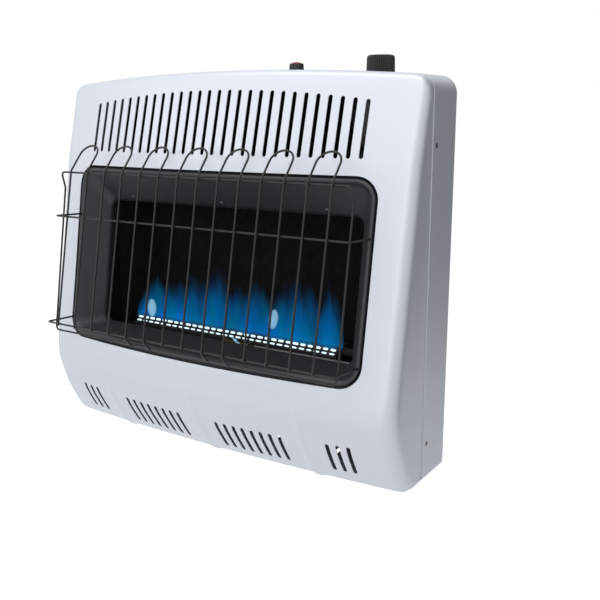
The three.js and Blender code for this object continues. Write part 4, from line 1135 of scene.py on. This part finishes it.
# Name, place, target, size and power of each lamp.
LAMPS = (
    ("top_softbox", (0.0, -1.0, 1.75), (0, 0.05, 0.0), (2.6, 1.5), 25),
    ("left_softbox", (-2.2, -2.4, 0.75), (0, 0, -0.25), (1.8, 2.0), 12),
    ("front_softbox", (0.9, -2.9, 0.5), (0, 0, -0.3), (2.0, 2.0), 16),
)
FILL = 0.27


class HEATER_OT_stage(bpy.types.Operator):
    """Pale floor, soft studio light and the camera"""

    bl_idname = "heater.stage"
    bl_label = "Stage"

    def execute(self, context):
        scene = context.scene
        floor_z = -HANG / 1000 - 0.42
        floor = self.card("floor", (0, -0.6, floor_z), (14, 14), (0, 0, 0))
        pale = Finish("floor_pale", (0.8, 0.8, 0.805), 0.8).tint(1.2, 0.98, 1.0).shine(0)
        pale.shader.inputs["Emission Color"].default_value = (1, 1, 1, 1)
        floor.data.materials.append(pale.material)
        lift = pale.tree.nodes.new("ShaderNodeMath")
        lift.operation = "MULTIPLY"
        lift.inputs[1].default_value = 0.88
        pale.tree.links.new(self.plain_sight(pale.tree), lift.inputs[0])
        pale.tree.links.new(lift.outputs[0], pale.shader.inputs["Emission Strength"])
        shade = self.card("shade_card", (1.33, 2.3, floor_z + 1.5), (3.0, 4.4), (0, -90, 0))
        shade.data.materials.append(Finish("shade_grey", (0.03, 0.03, 0.035), 0.9).tint(3, 0.9, 1.1).material)
        shade.visible_camera = False

        for name, where, target, size, power in LAMPS:
            self.lamp(name, where, target, size, power)

        world = bpy.data.worlds.new("studio")
        scene.world = world
        world.use_nodes = True
        tree = world.node_tree
        fill = tree.nodes["Background"]
        fill.inputs["Color"].default_value = (0.9, 0.94, 1.0, 1)
        fill.inputs["Strength"].default_value = FILL
        seen = tree.nodes.new("ShaderNodeBackground")
        seen.inputs["Color"].default_value = (1, 1, 1, 1)
        seen.inputs["Strength"].default_value = 1.0
        mix = tree.nodes.new("ShaderNodeMixShader")
        tree.links.new(self.plain_sight(tree), mix.inputs[0])
        tree.links.new(fill.outputs[0], mix.inputs[1])
        tree.links.new(seen.outputs[0], mix.inputs[2])
        tree.links.new(mix.outputs[0], tree.nodes["World Output"].inputs["Surface"])

        camera = bpy.data.objects.new("camera", bpy.data.cameras.new("camera"))
        scene.collection.objects.link(camera)
        camera.data.sensor_width = 36
        camera.data.lens = 810.5 * 36 / 600
        camera.data.shift_x = (300 - 292.91) / 600
        camera.data.shift_y = (300.3 - 300) / 600
        camera.data.clip_end = 60
        yaw, pitch, roll = math.radians(33.432), math.radians(12.816), math.radians(-0.204)
        ahead = Vector((-math.sin(yaw) * math.cos(pitch), math.cos(yaw) * math.cos(pitch), -math.sin(pitch)))
        right = Vector((math.cos(yaw), math.sin(yaw), 0))
        up = right.cross(ahead)
        right, up = (right * math.cos(roll) + up * math.sin(roll), up * math.cos(roll) - right * math.sin(roll))
        turn = Matrix((right, up, -ahead)).transposed().to_4x4()
        camera.matrix_world = Matrix.Translation((0.8184, -1.1452, 0.5553 - HANG / 1000)) @ turn
        scene.camera = camera
        scene.view_settings.view_transform = "Standard"
        return {"FINISHED"}

    @staticmethod
    def plain_sight(tree):
        """One for rays that show the backdrop itself, nought for rays that light the heater."""
        path = tree.nodes.new("ShaderNodeLightPath")
        total = None
        for kind in ("Is Camera Ray", "Is Glossy Ray", "Is Transmission Ray"):
            if total is None:
                total = path.outputs[kind]
                continue
            node = tree.nodes.new("ShaderNodeMath")
            node.operation = "ADD"
            node.use_clamp = True
            tree.links.new(total, node.inputs[0])
            tree.links.new(path.outputs[kind], node.inputs[1])
            total = node.outputs[0]
        return total

    @staticmethod
    def card(name, centre, size, turn):
        mesh = bpy.data.meshes.new(name)
        w, h = size[0] / 2, size[1] / 2
        mesh.from_pydata([(-w, -h, 0), (w, -h, 0), (w, h, 0), (-w, h, 0)], [], [(0, 1, 2, 3)])
        obj = bpy.data.objects.new(name, mesh)
        bpy.context.scene.collection.objects.link(obj)
        obj.location = centre
        obj.rotation_euler = [math.radians(a) for a in turn]
        return obj

    @staticmethod
    def lamp(name, where, target, size, power):
        data = bpy.data.lights.new(name, "AREA")
        data.shape = "RECTANGLE"
        data.size, data.size_y = size
        data.energy = power
        obj = bpy.data.objects.new(name, data)
        bpy.context.scene.collection.objects.link(obj)
        obj.location = where
        obj.rotation_euler = (Vector(target) - Vector(where)).to_track_quat("-Z", "Y").to_euler()
        return obj


STEPS = (
    HEATER_OT_finishes,
    HEATER_OT_casing,
    HEATER_OT_surround,
    HEATER_OT_guard,
    HEATER_OT_controls,
    HEATER_OT_fire,
    HEATER_OT_stage,
)


class HEATER_PT_panel(bpy.types.Panel):
    """Pieces and settings of the heater"""

    bl_label = "Wall gas heater"
    bl_idname = "HEATER_PT_panel"
    bl_space_type = "VIEW_3D"
    bl_region_type = "UI"
    bl_category = "Heater"

    def draw(self, context):
        for step in STEPS:
            self.layout.operator(step.bl_idname)
        for group in (context.scene.heater_sizes, context.scene.heater_colours):
            column = self.layout.column()
            for name in group.__annotations__:
                column.prop(group, name)


CLASSES = (HeaterSizes, HeaterColours, *STEPS, HEATER_PT_panel)


def register():
    for cls in CLASSES:
        bpy.utils.register_class(cls)
    bpy.types.Scene.heater_sizes = PointerProperty(type=HeaterSizes)
    bpy.types.Scene.heater_colours = PointerProperty(type=HeaterColours)


def unregister():
    del bpy.types.Scene.heater_colours
    del bpy.types.Scene.heater_sizes
    for cls in reversed(CLASSES):
        bpy.utils.unregister_class(cls)


def main():
    register()
    for step in STEPS:
        group, name = step.bl_idname.split(".")
        getattr(getattr(bpy.ops, group), name)()


if __name__ == "__main__":
    main()
